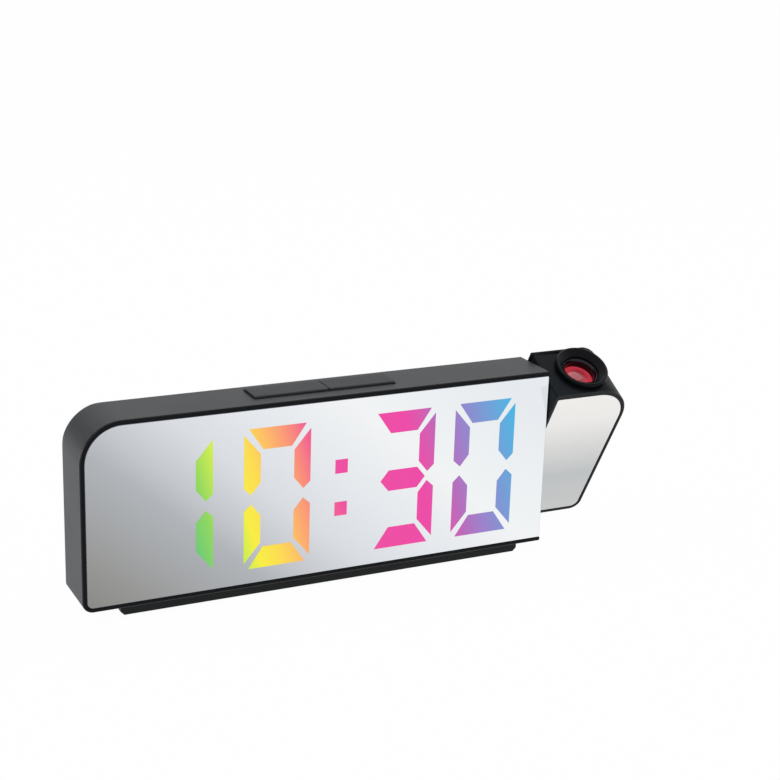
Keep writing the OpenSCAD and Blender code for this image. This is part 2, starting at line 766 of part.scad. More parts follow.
module display_board() color([0.1, 0.35, 0.2]) difference() {
    union() {
        window(0, reflector_y1, display_y1);
        box(left_ear_x - ear_margin, block_x0, reflector_y1, display_y1,
            left_posts_z[0] - ear_margin, left_posts_z[1] + ear_margin);
        box(block_x1, right_ear_x + post_d / 2, reflector_y1, display_y1,
            right_posts_z[0] - ear_margin, right_posts_z[1] + ear_margin);
    }
    for (z = left_posts_z) rod_y(left_ear_x, z, small_screw_d + 2 * screw_gap,
        reflector_y1 - cut, display_y1 + cut);
    for (z = right_posts_z) rod_y(right_ear_x, z, small_screw_d + 2 * screw_gap,
        reflector_y1 - cut, display_y1 + cut);
}

module led_chip(x, z, w, h) box(x - w / 2, x + w / 2, reflector_y1 - led_t, reflector_y1, z - h / 2, z + h / 2);

module display_leds() color([0.95, 0.93, 0.8]) {
    for (x = digits_x) {
        for (s = [-1, 1]) led_chip(x, digit_z + s * (digit_h - bar_h) / 2, led_w, led_h);
        led_chip(x, digit_z, led_w, led_h);
        for (s = [-1, 1]) for (t = [-1, 1])
            led_chip(x + s * (digit_w - side_w) / 2, digit_z + t * digit_h / 4, led_h, led_w);
    }
    for (s = [-1, 1]) led_chip(colon_x, digit_z + s * dot_rise, led_w, led_h);
}

module display_screws() color([0.7, 0.7, 0.72]) {
    for (z = left_posts_z) screw_y(left_ear_x, z, display_y1, -board_screw_l, small_screw_d,
        small_head_d, small_head_t);
    for (z = right_posts_z) screw_y(right_ear_x, z, display_y1, -board_screw_l, small_screw_d,
        small_head_d, small_head_t);
}

module board_header() color([0.06, 0.06, 0.06])
    box(main_x - header_w / 2, main_x + header_w / 2, display_y1, main_y0, header_z, header_z + header_h);

// ---------- Main board and what it carries ----------

module main_board() color([0.1, 0.35, 0.2]) difference() {
    box(main_x0, main_x1, main_y0, main_y1, main_z, main_z1);
    for (s = board_screws_xz) rod_y(s[0], s[1], small_screw_d + 2 * screw_gap, main_y0 - cut, main_y1 + cut);
}

module board_chips() color([0.08, 0.08, 0.09]) {
    box(chip_x, chip_x + chip_w, main_y1, main_y1 + chip_t, chip_z, chip_z + chip_w);
    box(driver_x, driver_x + driver_w, main_y1, main_y1 + chip_t, driver_z, driver_z + driver_h);
    rod_y(capacitor_x, capacitor_z, capacitor_d, main_y1, main_y1 + capacitor_t);
    box(main_x1 - plug_w, main_x1, main_y1, main_y1 + plug_t, plug_z, plug_z + plug_h);
}

module tact_switches() color([0.12, 0.12, 0.13]) for (x = buttons_x) {
    box(x - switch_w / 2, x + switch_w / 2, main_y1, main_y1 + switch_t,
        button_z - switch_w / 2, button_z + switch_w / 2);
    rod_y(x, button_z, plunger_d, main_y1 + switch_t, main_y1 + switch_t + plunger_t);
}

module buzzer() color([0.08, 0.08, 0.08]) difference() {
    rod_y(buzzer_x, buzzer_z, buzzer_d, main_y1, main_y1 + buzzer_t);
    rod_y(buzzer_x, buzzer_z, buzzer_hole_d, main_y1 + buzzer_t - buzzer_hole_t, main_y1 + buzzer_t + cut);
}

module socket_outline(g) {
    square([socket_w - socket_h, socket_h + 2 * g], center = true);
    for (s = [-1, 1]) translate([s * (socket_w - socket_h) / 2, 0]) circle(socket_h / 2 + g);
}

module power_inlet() color([0.75, 0.75, 0.77]) translate([socket_x, 0, socket_z]) {
    along_y(main_y1, socket_y1) difference() {
        socket_outline(0);
        socket_outline(-socket_wall);
    }
    along_y(main_y1, main_y1 + socket_back_t) socket_outline(-socket_wall);
    along_y(main_y1 + socket_back_t, socket_y1 - tongue_setback)
        square([socket_w - socket_h, tongue_t], center = true);
}

module board_screws() color([0.7, 0.7, 0.72])
    for (s = board_screws_xz) screw_y(s[0], s[1], main_y0, board_screw_l, small_screw_d,
        small_head_d, small_head_t);

// ---------- Rear cover ----------

module rear_outer() intersection() {
    along_y(seam_y, rear_y) housing_outline();
    translate([0, 0, -cut]) linear_extrude(body_z1 + 2 * cut)
        outline(body_x0, body_x1, seam_y - 2 * rear_edge_r, rear_y, rear_edge_r, rear_edge_r, edge_r, edge_r);
    along_x(body_x0 - cut, body_x1 + cut)
        outline(seam_y - 2 * rear_edge_r, rear_y, body_z0 - cut, body_z1, edge_r, rear_edge_r, edge_r, edge_r);
}

module lug_ring(turn, grow, y0, y1) translate([cell_x, 0, cell_z]) rotate([0, turn, 0])
    translate([-cell_x, 0, -cell_z]) intersection() {
        rod_y(cell_x, cell_z, door_d + 2 * lug_reach + 2 * grow, y0, y1);
        along_y(y0, y1) for (s = [0, 180]) translate([cell_x, cell_z]) rotate(s)
            polygon([[0, 0], [door_d, -door_d * tan(lug_angle / 2) - grow],
                [door_d, door_d * tan(lug_angle / 2) + grow]]);
    }

module rear_cover() color([0.15, 0.16, 0.17]) difference() {
    union() {
        rear_outer();
        for (s = board_screws_xz) rod_y(s[0], s[1], post_d, main_y1, seam_y + sink);
        // lips that locate the cover in the housing
        box(main_x0, main_x1, seam_y - lip_l, seam_y + sink, inner_z0 + lip_gap, inner_z0 + lip_gap + lip_t);
        // battery well
        rod_y(cell_x, cell_z, cell_d + well_gap + 2 * well_wall, well_floor_y1 - well_floor_t, seam_y + sink);
        rod_y(cell_x, cell_z, door_d + 2 * lug_reach + 2 * pad_reach, seam_y - pad_t, seam_y + sink);
    }
    underside_cut();
    for (s = board_screws_xz) rod_y(s[0], s[1], small_screw_d + 2 * screw_gap, main_y1 - cut, seam_y);
    for (s = cover_screws) {
        rod_y(s[0], s[1], screw_d + 2 * screw_gap, seam_y - cut, rear_y + cut);
        rod_y(s[0], s[1], head_d + 2 * screw_gap, rear_y - head_t - 0.1, rear_y + cut);
    }
    for (x = buttons_x) rod_y(x, button_z, button_d + 2 * button_gap, seam_y - cut, rear_y + cut);
    along_y(seam_y - 2, rear_y + cut) translate([socket_x, socket_z]) socket_outline(0.4);
    for (i = [-2:2]) box(buzzer_x - vent_w / 2, buzzer_x + vent_w / 2, seam_y - cut, rear_y + cut,
        buzzer_z + i * vent_pitch - vent_h / 2, buzzer_z + i * vent_pitch + vent_h / 2);
    // well, door seat, lug groove and lug entries
    rod_y(cell_x, cell_z, cell_d + well_gap, well_floor_y1, rear_y + cut);
    rod_y(cell_x, cell_z, door_d + 2 * door_gap, door_y0 - flange_play, rear_y + cut);
    rod_y(cell_x, cell_z, door_d + 2 * lug_reach + 2 * door_gap, door_y0 - flange_play,
        door_y0 + lug_t + flange_play);
    lug_ring(door_turn, door_gap + entry_gap, door_y0 - flange_play, rear_y + cut);
}

module cover_screws() color([0.25, 0.25, 0.27])
    for (s = cover_screws) screw_y(s[0], s[1], rear_y - head_t - 0.1, 1 - cover_screw_l, screw_d,
        head_d, head_t);

module coin_cell() color([0.78, 0.78, 0.76]) {
    rod_y(cell_x, cell_z, cell_d, cell_y0 + cell_step, cell_y1);
    rod_y(cell_x, cell_z, cell_neck_d, cell_y0, cell_y0 + cell_step);
}

module cell_contact() color([0.8, 0.68, 0.35])
    box(cell_x - contact_l / 2, cell_x + contact_l / 2, well_floor_y1, cell_y0,
        cell_z - contact_w / 2, cell_z + contact_w / 2);

module battery_door() color([0.16, 0.17, 0.18]) difference() {
    union() {
        rod_y(cell_x, cell_z, door_d, door_y0, door_y0 + door_t);
        lug_ring(0, 0, door_y0, door_y0 + lug_t);
    }
    box(cell_x - door_slot_l / 2, cell_x + door_slot_l / 2, door_y0 + door_t - door_slot_t,
        door_y0 + door_t + cut, cell_z - door_slot_w / 2, cell_z + door_slot_w / 2);
}

module rear_button(i) color([0.2, 0.21, 0.22]) {
    x = buttons_x[i];
    rod_y(x, button_z, button_d, seam_y - flange_play - button_flange_t, rear_y + button_proud - 0.5);
    translate([x, rear_y + button_proud - 0.5, button_z]) rotate([-90, 0, 0])
        cylinder(d1 = button_d, d2 = button_d - 1, h = 0.5);
    rod_y(x, button_z, button_flange_d, seam_y - flange_play - button_flange_t, seam_y - flange_play);
}

module button_mode() rear_button(0);
module button_up() rear_button(1);
module button_down() rear_button(2);
module button_alarm() rear_button(3);
module button_projector() rear_button(4);

// ---------- Top keys ----------

module snooze_key(i) color([0.2, 0.21, 0.22]) {
    x0 = i == 0 ? keys_x0 : keys_split + key_split_gap / 2;
    x1 = i == 0 ? keys_split - key_split_gap / 2 : keys_x1;
    left = i == 0 ? key_gap + key_flange : 0;
    right = i == 0 ? 0 : key_gap + key_flange;
    flange_z1 = inner_z1 - key_flange_gap;
    key_z1 = body_z1 + key_proud;
    box(x0, x1, keys_y0, keys_y1, flange_z1 - key_flange_t, key_z1 - key_bevel);
    along_x(x0, x1) polygon([[keys_y0, key_z1 - key_bevel], [keys_y0 + key_bevel, key_z1],
        [keys_y1 - key_bevel, key_z1], [keys_y1, key_z1 - key_bevel]]);
    box(x0 - left, x1 + right, keys_y0, keys_y1 + key_gap + key_flange,
        flange_z1 - key_flange_t, flange_z1);
    rod_z(key_middles[i], key_switch_y, key_stem_d, flange_z1 - key_flange_t - key_stem_t, flange_z1);
}

module snooze_key_left() snooze_key(0);
module snooze_key_right() snooze_key(1);

module key_board() color([0.1, 0.35, 0.2]) difference() {
    box(key_board_x0, key_board_x1, key_board_y0, key_board_y1, key_board_z0, key_board_z1);
    for (x = key_screws_x) rod_z(x, key_switch_y, small_screw_d + 2 * screw_gap,
        key_board_z0 - cut, key_board_z1 + cut);
}

module key_switches() color([0.12, 0.12, 0.13]) for (x = key_middles) {
    box(x - switch_w / 2, x + switch_w / 2, key_switch_y - switch_w / 2, key_switch_y + switch_w / 2,
        key_board_z1, key_board_z1 + key_switch_t);
    rod_z(x, key_switch_y, plunger_d, key_board_z1 + key_switch_t, key_board_z1 + key_switch_t + key_plunger_t);
}

module key_screws() color([0.7, 0.7, 0.72]) for (x = key_screws_x) {
    rod_z(x, key_switch_y, small_screw_d, key_board_z0, key_board_z0 + key_screw_l);
    rod_z(x, key_switch_y, small_head_d, key_board_z0 - small_head_t, key_board_z0);
}

module key_lead() color([0.85, 0.85, 0.82])
    box(lead_x, lead_x + lead_w, main_y1, main_y1 + lead_t, main_z1 - lead_lap, key_board_z0);

// ---------- Foot ----------

module foot_rail() color([0.1, 0.1, 0.11]) difference() {
    intersection() {
        along_x(foot_x0, foot_x1) polygon([[-foot_d / 2, strip_proud], [foot_d / 2, strip_proud],
            [foot_d / 2, underside(foot_d / 2)], [-foot_d / 2, underside(-foot_d / 2)]]);
        along_y(-foot_d, foot_d) polygon([[foot_x0 + foot_chamfer, strip_proud],
            [foot_x1 - foot_chamfer, strip_proud], [foot_x1, strip_proud + foot_chamfer],
            [foot_x1, body_z1], [foot_x0, body_z1], [foot_x0, strip_proud + foot_chamfer]]);
    }
    box(strip_x0 - strip_gap, strip_x1 + strip_gap, -strip_d / 2 - strip_gap, strip_d / 2 + strip_gap,
        0, strip_t);
    for (x = foot_screws_x) {
        rod_z(x, foot_screw_y, screw_d + 2 * screw_gap, 0, body_z1);
        rod_z(x, foot_screw_y, head_d + 2 * screw_gap, 0, strip_proud + head_t + 0.1);
    }
}

module foot_strip() color([0.07, 0.07, 0.07])
    box(strip_x0, strip_x1, -strip_d / 2, strip_d / 2, 0, strip_t);

module foot_screws() color([0.7, 0.7, 0.72]) for (x = foot_screws_x) {
    rod_z(x, foot_screw_y, screw_d, strip_proud + head_t + 0.1, inner_z0 + foot_boss_t);
    rod_z(x, foot_screw_y, head_d, strip_proud + 0.1, strip_proud + head_t + 0.1);
}

// ---------- Hinge ----------

module hinge_bush() color([0.88, 0.86, 0.8]) difference() {
    union() {
        rod_x(pivot_y, pivot_z, bush_d, inner_x1 - bush_flange_t, body_x1);
        rod_x(pivot_y, pivot_z, flange_d, inner_x1 - bush_flange_t, inner_x1);
    }
    rod_x(pivot_y, pivot_z, shaft_d + 2 * running_gap, inner_x1 - 2 * bush_flange_t, body_x1 + cut);
}

module hinge_shaft() arm_pose() color([0.1, 0.1, 0.11]) difference() {
    union() {
        rod_x(pivot_y, pivot_z, shaft_d, shaft_x0, arm_in_x0 + shaft_flange_t);
        rod_x(pivot_y, pivot_z, shaft_flange_d, arm_in_x0, arm_in_x0 + shaft_flange_t);
    }
    rod_x(pivot_y, pivot_z, shaft_bore_d, shaft_x0 - cut, arm_in_x0 + shaft_flange_t + cut);
    tube_x(pivot_y, pivot_z, shaft_d + cut, shaft_d - 2 * groove_depth, groove_x0, groove_x0 + ring_clip_t + 0.1);
}

module friction_washer() arm_pose() color([0.9, 0.9, 0.86])
    tube_x(pivot_y, pivot_z, flange_d, shaft_d + 2 * running_gap, washer_x1 - washer_t, washer_x1);

// A dished washer: its rim bears on the friction washer and its bore edge on the ring
module spring_washer() arm_pose() color([0.6, 0.6, 0.62])
    translate([groove_x0 + ring_clip_t, pivot_y, pivot_z]) rotate([0, 90, 0])
        rotate_extrude() polygon([
            [shaft_d / 2 + running_gap, 0], [shaft_d / 2 + running_gap + 0.8, 0],
            [flange_d / 2 - 0.3, washer_x1 - washer_t - groove_x0 - ring_clip_t - 0.5],
            [flange_d / 2 - 0.3, washer_x1 - washer_t - groove_x0 - ring_clip_t],
            [flange_d / 2 - 1, washer_x1 - washer_t - groove_x0 - ring_clip_t],
            [shaft_d / 2 + running_gap, 0.6]]);

module retaining_ring() arm_pose() color([0.3, 0.3, 0.32]) difference() {
    tube_x(pivot_y, pivot_z, ring_clip_d, shaft_d - 2 * groove_depth, groove_x0, groove_x0 + ring_clip_t);
    box(groove_x0 - cut, groove_x0 + ring_clip_t + cut, pivot_y - clip_slot_w / 2, pivot_y + clip_slot_w / 2,
        pivot_z, pivot_z + ring_clip_d);
}

module body_harness() color([0.7, 0.15, 0.12]) wire(body_wire, wire_d);
module arm_harness() arm_pose() color([0.7, 0.15, 0.12]) wire(arm_wire, wire_d);

// ---------- Projector arm ----------

module arm_outline() outline(arm_x0, arm_x1, arm_z0, arm_z1, edge_r, arm_top_r, edge_r, arm_low_r);

module arm_mirror_outline(g) outline(arm_x0 + arm_rim_left - g, arm_x1 - arm_rim + g,
    arm_z0 + rim_low - g, arm_z1 - rim_top + g, edge_r, arm_top_r - arm_rim + g,
    edge_r, arm_low_r - arm_rim + g);

module arm_cavity_outline() outline(arm_in_x0, arm_in_x1, arm_in_z0, arm_in_z1,
    edge_r, arm_top_r - wall, edge_r, arm_low_r - wall);

// A level seat for the ring where the arm's corner falls away under it
module ring_collar() intersection() {
    rod_z(axis_x, axis_y, ring_hole_d + 2 * collar_wall, arm_in_z1 - collar_sink, arm_z1);
    box(arm_x0, arm_x1, front_y, arm_seam_y, arm_z0, arm_z1 + cut);
}

module arm_shell() arm_pose() color([0.12, 0.13, 0.14]) difference() {
    union() {
        difference() {
            along_y(front_y, arm_seam_y) arm_outline();
            along_y(front_y - cut, plate_y0) arm_mirror_outline(mirror_gap);
            along_y(plate_y1, arm_seam_y + cut) arm_cavity_outline();
        }
        for (s = arm_screws_xz) rod_y(s[0], s[1], post_d, plate_y1 - sink, arm_seam_y);
        ring_collar();
        // saddles of the projector tube
        difference() {
            for (z = saddle_z) box(axis_x - tube_d / 2 - saddle_side, axis_x + tube_d / 2 + saddle_side,
                plate_y1 - sink, axis_y - saddle_reach, z, z + saddle_t);
            rod_z(axis_x, axis_y, tube_d + slip_gap, saddle_z[0] - cut, saddle_z[1] + saddle_t + cut);
        }
    }
    for (s = arm_screws_xz) rod_y(s[0], s[1], small_screw_d + 2 * screw_gap,
        arm_seam_y - cover_screw_l, arm_seam_y + cut);
    rod_z(axis_x, axis_y, ring_hole_d, arm_in_z1 - cut, arm_z1 + cut);
    // room for the ring's lip under the collar
    rod_z(axis_x, axis_y, ring_lip_d + 2 * lip_room, ring_lip_z1 - ring_lip_t - ring_lip_slope - cut, arm_in_z1);
    rod_x(pivot_y, pivot_z, shaft_d, arm_x0 - cut, arm_in_x0 + 0.5);
}

module arm_cover_outer() intersection() {
    along_y(arm_seam_y, arm_y1) arm_outline();
    linear_extrude(arm_z1 + cut) outline(arm_x0, arm_x1, arm_seam_y - 2 * rear_edge_r, arm_y1,
        edge_r, rear_edge_r, edge_r, edge_r);
    along_x(arm_x0 - cut, arm_x1 + cut) outline(arm_seam_y - 2 * rear_edge_r, arm_y1, arm_z0, arm_z1,
        edge_r, rear_edge_r, edge_r, rear_edge_r);
}

module arm_cover() arm_pose() color([0.12, 0.13, 0.14]) difference() {
    union() {
        arm_cover_outer();
        // ribs that press the projector tube into its saddles
        difference() {
            for (z = saddle_z) box(axis_x - rib_w / 2, axis_x + rib_w / 2, axis_y + rib_reach,
                arm_seam_y + sink, z, z + saddle_t);
            rod_z(axis_x, axis_y, tube_d + slip_gap, saddle_z[0] - cut, saddle_z[1] + saddle_t + cut);
        }
    }
    for (s = arm_screws_xz) {
        rod_y(s[0], s[1], small_screw_d + 2 * screw_gap, arm_seam_y - cut, arm_y1 + cut);
        rod_y(s[0], s[1], small_head_d + 2 * screw_gap, arm_y1 - small_head_t - arm_head_recess, arm_y1 + cut);
    }
}

module arm_mirror() arm_pose() color([0.8, 0.82, 0.84]) along_y(mirror_y, plate_y0) arm_mirror_outline(0);

module arm_screws() arm_pose() color([0.25, 0.25, 0.27])
    for (s = arm_screws_xz) screw_y(s[0], s[1], arm_y1 - small_head_t - arm_head_recess, 1 - cover_screw_l,
        small_screw_d, small_head_d, small_head_t);

// ---------- Projector ----------

module projector_tube() arm_pose() color([0.1, 0.1, 0.11]) difference() {
    rod_z(axis_x, axis_y, tube_d, tube_z0, tube_z1);
    rod_z(axis_x, axis_y, barrel_d + 2 * running_gap, tube_bore_z0, tube_z1 + cut);
    rod_z(axis_x, axis_y, light_bore_d, tube_z0 - cut, tube_z1);
    box(axis_x - slide_w / 2 - slip_gap, axis_x + slide_w / 2 + slip_gap, axis_y - slide_w / 2 - slip_gap,
        axis_y + slide_w / 2 + slip_gap, tube_z0 - cut, tube_z0 + slide_t);
    // keyway that stops the barrel turning
    box(axis_x + barrel_d / 2 - cut, axis_x + barrel_d / 2 + key_rib_h + slip_gap,
        axis_y - key_rib_w / 2 - slip_gap, axis_y + key_rib_w / 2 + slip_gap, tube_bore_z0, tube_z1 + cut);
}

module lamp_housing() arm_pose() color([0.14, 0.14, 0.15]) difference() {
    box(axis_x - tube_d / 2, axis_x + tube_d / 2, axis_y - tube_d / 2, axis_y + tube_d / 2, lamp_z0, tube_z0);
    rod_z(axis_x, axis_y, lens_seat_d + slip_gap, lamp_z0 - cut, tube_z0 - lens_ledge);
    rod_z(axis_x, axis_y, light_bore_d, lamp_z0 - cut, tube_z0 + cut);
    for (s = [-1, 1]) rod_z(axis_x + s * lamp_screw_reach, axis_y + s * lamp_screw_reach,
        small_screw_d + 2 * screw_gap, lamp_z0 - cut, lamp_z0 + lamp_hole_l);
}

module condenser_lens() arm_pose() color([0.85, 0.9, 0.95, 0.6])
    translate([axis_x, axis_y, tube_z0 - lens_ledge - condenser_t]) intersection() {
        cylinder(d = lens_seat_d, h = condenser_t);
        translate([0, 0, lens_seat_d]) sphere(lens_seat_d);
    }

module projector_board() arm_pose() color([0.1, 0.35, 0.2]) difference() {
    box(lamp_board_x0, axis_x + tube_d / 2, axis_y - tube_d / 2, axis_y + tube_d / 2,
        lamp_board_z0, lamp_board_z1);
    for (s = [-1, 1]) rod_z(axis_x + s * lamp_screw_reach, axis_y + s * lamp_screw_reach,
        small_screw_d + 2 * screw_gap, lamp_board_z0 - cut, lamp_board_z1 + cut);
}

module projector_led() arm_pose() color([0.85, 0.2, 0.15]) translate([axis_x, axis_y, lamp_board_z1]) {
    translate([-emitter_w / 2, -emitter_w / 2, 0]) cube([emitter_w, emitter_w, emitter_t]);
    translate([0, 0, emitter_t]) intersection() {
        sphere(d = emitter_dome_d);
        translate([-emitter_dome_d / 2, -emitter_dome_d / 2, 0]) cube(emitter_dome_d);
    }
}

module lamp_screws() arm_pose() color([0.7, 0.7, 0.72]) for (s = [-1, 1]) {
    rod_z(axis_x + s * lamp_screw_reach, axis_y + s * lamp_screw_reach, small_screw_d,
        lamp_board_z0, lamp_board_z0 + lamp_screw_l);
    rod_z(axis_x + s * lamp_screw_reach, axis_y + s * lamp_screw_reach, lamp_head_d,
        lamp_board_z0 - small_head_t, lamp_board_z0);
}

module display_slide() arm_pose() color([0.5, 0.55, 0.6, 0.7])
    box(axis_x - slide_w / 2, axis_x + slide_w / 2, axis_y - slide_w / 2, axis_y + slide_w / 2,
        tube_z0, tube_z0 + slide_t);

module focus_ring() arm_pose() color([0.08, 0.08, 0.09]) translate([axis_x, axis_y, 0]) rotate_extrude()
    polygon([
        [barrel_d / 2 + barrel_gap, ring_skirt_z0], [ring_hole_d / 2 - skirt_gap, ring_skirt_z0],
        [ring_hole_d / 2 - skirt_gap, ring_lip_z1 - ring_lip_t - ring_lip_slope],
        [ring_lip_d / 2, ring_lip_z1 - ring_lip_t],
        [ring_lip_d / 2, ring_lip_z1], [ring_hole_d / 2 - skirt_gap, ring_lip_z1],
        [ring_hole_d / 2 - skirt_gap, ring_z0], [ring_d / 2, ring_z0], [ring_d / 2, ring_z1 - ring_edge],
        [ring_d / 2 - ring_edge, ring_z1], [ring_d / 2 - 2 * ring_edge, ring_z1],
        [barrel_d / 2 + barrel_gap, cone_z0]]);

module lens_barrel() arm_pose() color([0.55, 0.56, 0.58]) {
    bore_r = lens_d / 2 - barrel_ledge;
    translate([axis_x, axis_y, 0]) rotate_extrude() polygon([
        [bore_r, barrel_z0], [barrel_d / 2, barrel_z0], [barrel_d / 2, barrel_z1],
        [barrel_d / 2 - barrel_edge, barrel_z1], [lens_d / 2, barrel_z1 - barrel_ledge],
        [lens_d / 2, barrel_z1 - front_seat], [bore_r, barrel_z1 - front_seat],
        [bore_r, barrel_z0 + rear_lip + rear_lens_t], [lens_d / 2, barrel_z0 + rear_lip + rear_lens_t],
        [lens_d / 2, barrel_z0 + rear_lip], [bore_r, barrel_z0 + rear_lip]]);
    box(axis_x + barrel_d / 2 - barrel_edge, axis_x + barrel_d / 2 + key_rib_h, axis_y - key_rib_w / 2,
        axis_y + key_rib_w / 2, barrel_z0, tube_z1 - focus_reach - key_rib_stop);
}

module front_lens() arm_pose() color([0.8, 0.25, 0.3, 0.7])
    translate([axis_x, axis_y, barrel_z1 - front_seat]) intersection() {
        cylinder(d = lens_d, h = front_lens_t);
        translate([0, 0, front_lens_t - lens_dome_r]) sphere(lens_dome_r);
    }

module rear_lens() arm_pose() color([0.85, 0.9, 0.95, 0.7])
    translate([axis_x, axis_y, barrel_z0 + rear_lip]) intersection() {
        cylinder(d = lens_d, h = rear_lens_t);
        translate([0, 0, lens_dome_r]) sphere(lens_dome_r);
    }

// ---------- Drawing ----------

housing_shell();
mirror_panel();
lit_time();
diffuser_film();
segment_reflector();
display_board();
display_leds();
display_screws();
board_header();
main_board();
board_chips();
tact_switches();
buzzer();
power_inlet();
board_screws();
rear_cover();
cover_screws();
coin_cell();
cell_contact();
battery_door();
button_mode();
button_up();
button_down();
button_alarm();
button_projector();
snooze_key_left();
snooze_key_right();
key_board();
key_switches();
key_screws();
key_lead();
foot_rail();
foot_strip();
foot_screws();
hinge_bush();
body_harness();
arm_shell();
arm_cover();
arm_mirror();
arm_screws();
hinge_shaft();
friction_washer();
spring_washer();
retaining_ring();
arm_harness();
projector_tube();
lamp_housing();
condenser_lens();
projector_board();
projector_led();
lamp_screws();
display_slide();
focus_ring();
lens_barrel();
front_lens();
rear_lens();
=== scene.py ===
# %% [markdown]
# # A mirror-faced projection alarm clock
#
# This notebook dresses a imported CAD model. The CAD gives every piece its place and its joints. What
# is added here is what a designer calls the finish: rounded edges, moulded and polished surfaces,
# and light. All lengths in Blender are metres. Where a number is easier to read in millimetres, it
# is multiplied by MM.

# %% Load the frame
import json
import math

import bmesh
import bpy
import numpy as np
from mathutils import Matrix, Vector


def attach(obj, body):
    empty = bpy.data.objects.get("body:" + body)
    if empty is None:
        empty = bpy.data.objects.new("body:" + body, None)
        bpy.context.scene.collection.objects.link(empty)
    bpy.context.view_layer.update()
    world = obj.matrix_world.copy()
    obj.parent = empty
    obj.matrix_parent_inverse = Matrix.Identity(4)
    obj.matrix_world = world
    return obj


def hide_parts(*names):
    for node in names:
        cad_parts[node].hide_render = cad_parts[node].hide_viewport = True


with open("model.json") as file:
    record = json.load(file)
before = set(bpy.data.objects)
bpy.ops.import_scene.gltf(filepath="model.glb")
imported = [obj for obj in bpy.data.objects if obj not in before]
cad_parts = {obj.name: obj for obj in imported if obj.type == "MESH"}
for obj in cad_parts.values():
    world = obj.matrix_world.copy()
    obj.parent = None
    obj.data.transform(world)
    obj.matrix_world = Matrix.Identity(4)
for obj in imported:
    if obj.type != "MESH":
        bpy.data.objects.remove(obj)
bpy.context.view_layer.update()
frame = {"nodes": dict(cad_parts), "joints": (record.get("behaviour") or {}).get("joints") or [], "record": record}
NODES = frame["nodes"]
SLOT_OF = {part["node"]: part["material_slot"] for part in frame["record"]["subparts"]}
BODIES = frame["record"]["behaviour"]["bodies"]
BODY_OF = {node: body for body, group in BODIES.items() for node in group}
JOINTS = {joint["name"]: joint for joint in frame["joints"]}
MM = 0.001

# %% [markdown]
# ## The camera
#
# A product photographer stands to the left of such a clock and above it, with a long lens from
# about 0.6 metres away, so that its sides hardly converge. The three directions below are the
# camera's right, up and backward, found by lining up the housing's straight edges.

# %% Place the camera
CAMERA_AT = (-0.23459, -0.52961, 0.25371)
CAMERA_RIGHT = (0.89888, -0.43700, 0.03227)
CAMERA_UP = (0.10203, 0.28038, 0.95445)
CAMERA_BACK = (-0.42614, -0.85465, 0.29662)

lens_data = bpy.data.cameras.new("camera")
lens_data.lens = 77.29
lens_data.sensor_width = 36
lens_data.clip_start = 0.01
camera = bpy.data.objects.new("camera", lens_data)
bpy.context.scene.collection.objects.link(camera)
turn = Matrix((CAMERA_RIGHT, CAMERA_UP, CAMERA_BACK)).transposed().to_4x4()
camera.matrix_world = Matrix.Translation(CAMERA_AT) @ turn
bpy.context.scene.camera = camera
print("camera at", CAMERA_AT)

# %% [markdown]
# ## Shader maths
#
# A material is a graph of small sums. Value lets those sums be written as sums: `noise * 0.2 + 0.4`
# makes the Multiply and Add nodes by itself. Graph.node makes any other node from its type, its
# settings and its inputs.

# %% Value, Graph and colours
class Value:
    """A socket of a shader graph that can stand in a sum."""

    def __init__(self, graph, socket):
        self.graph = graph
        self.socket = socket

    def math(self, operation, other, flipped=False):
        """This socket and another value, or the two the other way round where flipped is True."""
        first, second = (other, self) if flipped else (self, other)
        return self.graph.node("Math", {"operation": operation}, {0: first, 1: second})

    def __add__(self, other):
        return self.math("ADD", other)

    def __sub__(self, other):
        return self.math("SUBTRACT", other)

    def __rsub__(self, other):
        return self.math("SUBTRACT", other, True)

    def __mul__(self, other):
        return self.math("MULTIPLY", other)

    def __truediv__(self, other):
        return self.math("DIVIDE", other)

    def __rtruediv__(self, other):
        return self.math("DIVIDE", other, True)

    __radd__ = __add__
    __rmul__ = __mul__

    def most(self, other):
        return self.math("MAXIMUM", other)

    def step(self, low, high):
        """0 below low, 1 above high, and an S-curve between them."""
        return self.graph.node("MapRange", {"interpolation_type": "SMOOTHSTEP"},
                               {"Value": self, "From Min": low, "From Max": high})


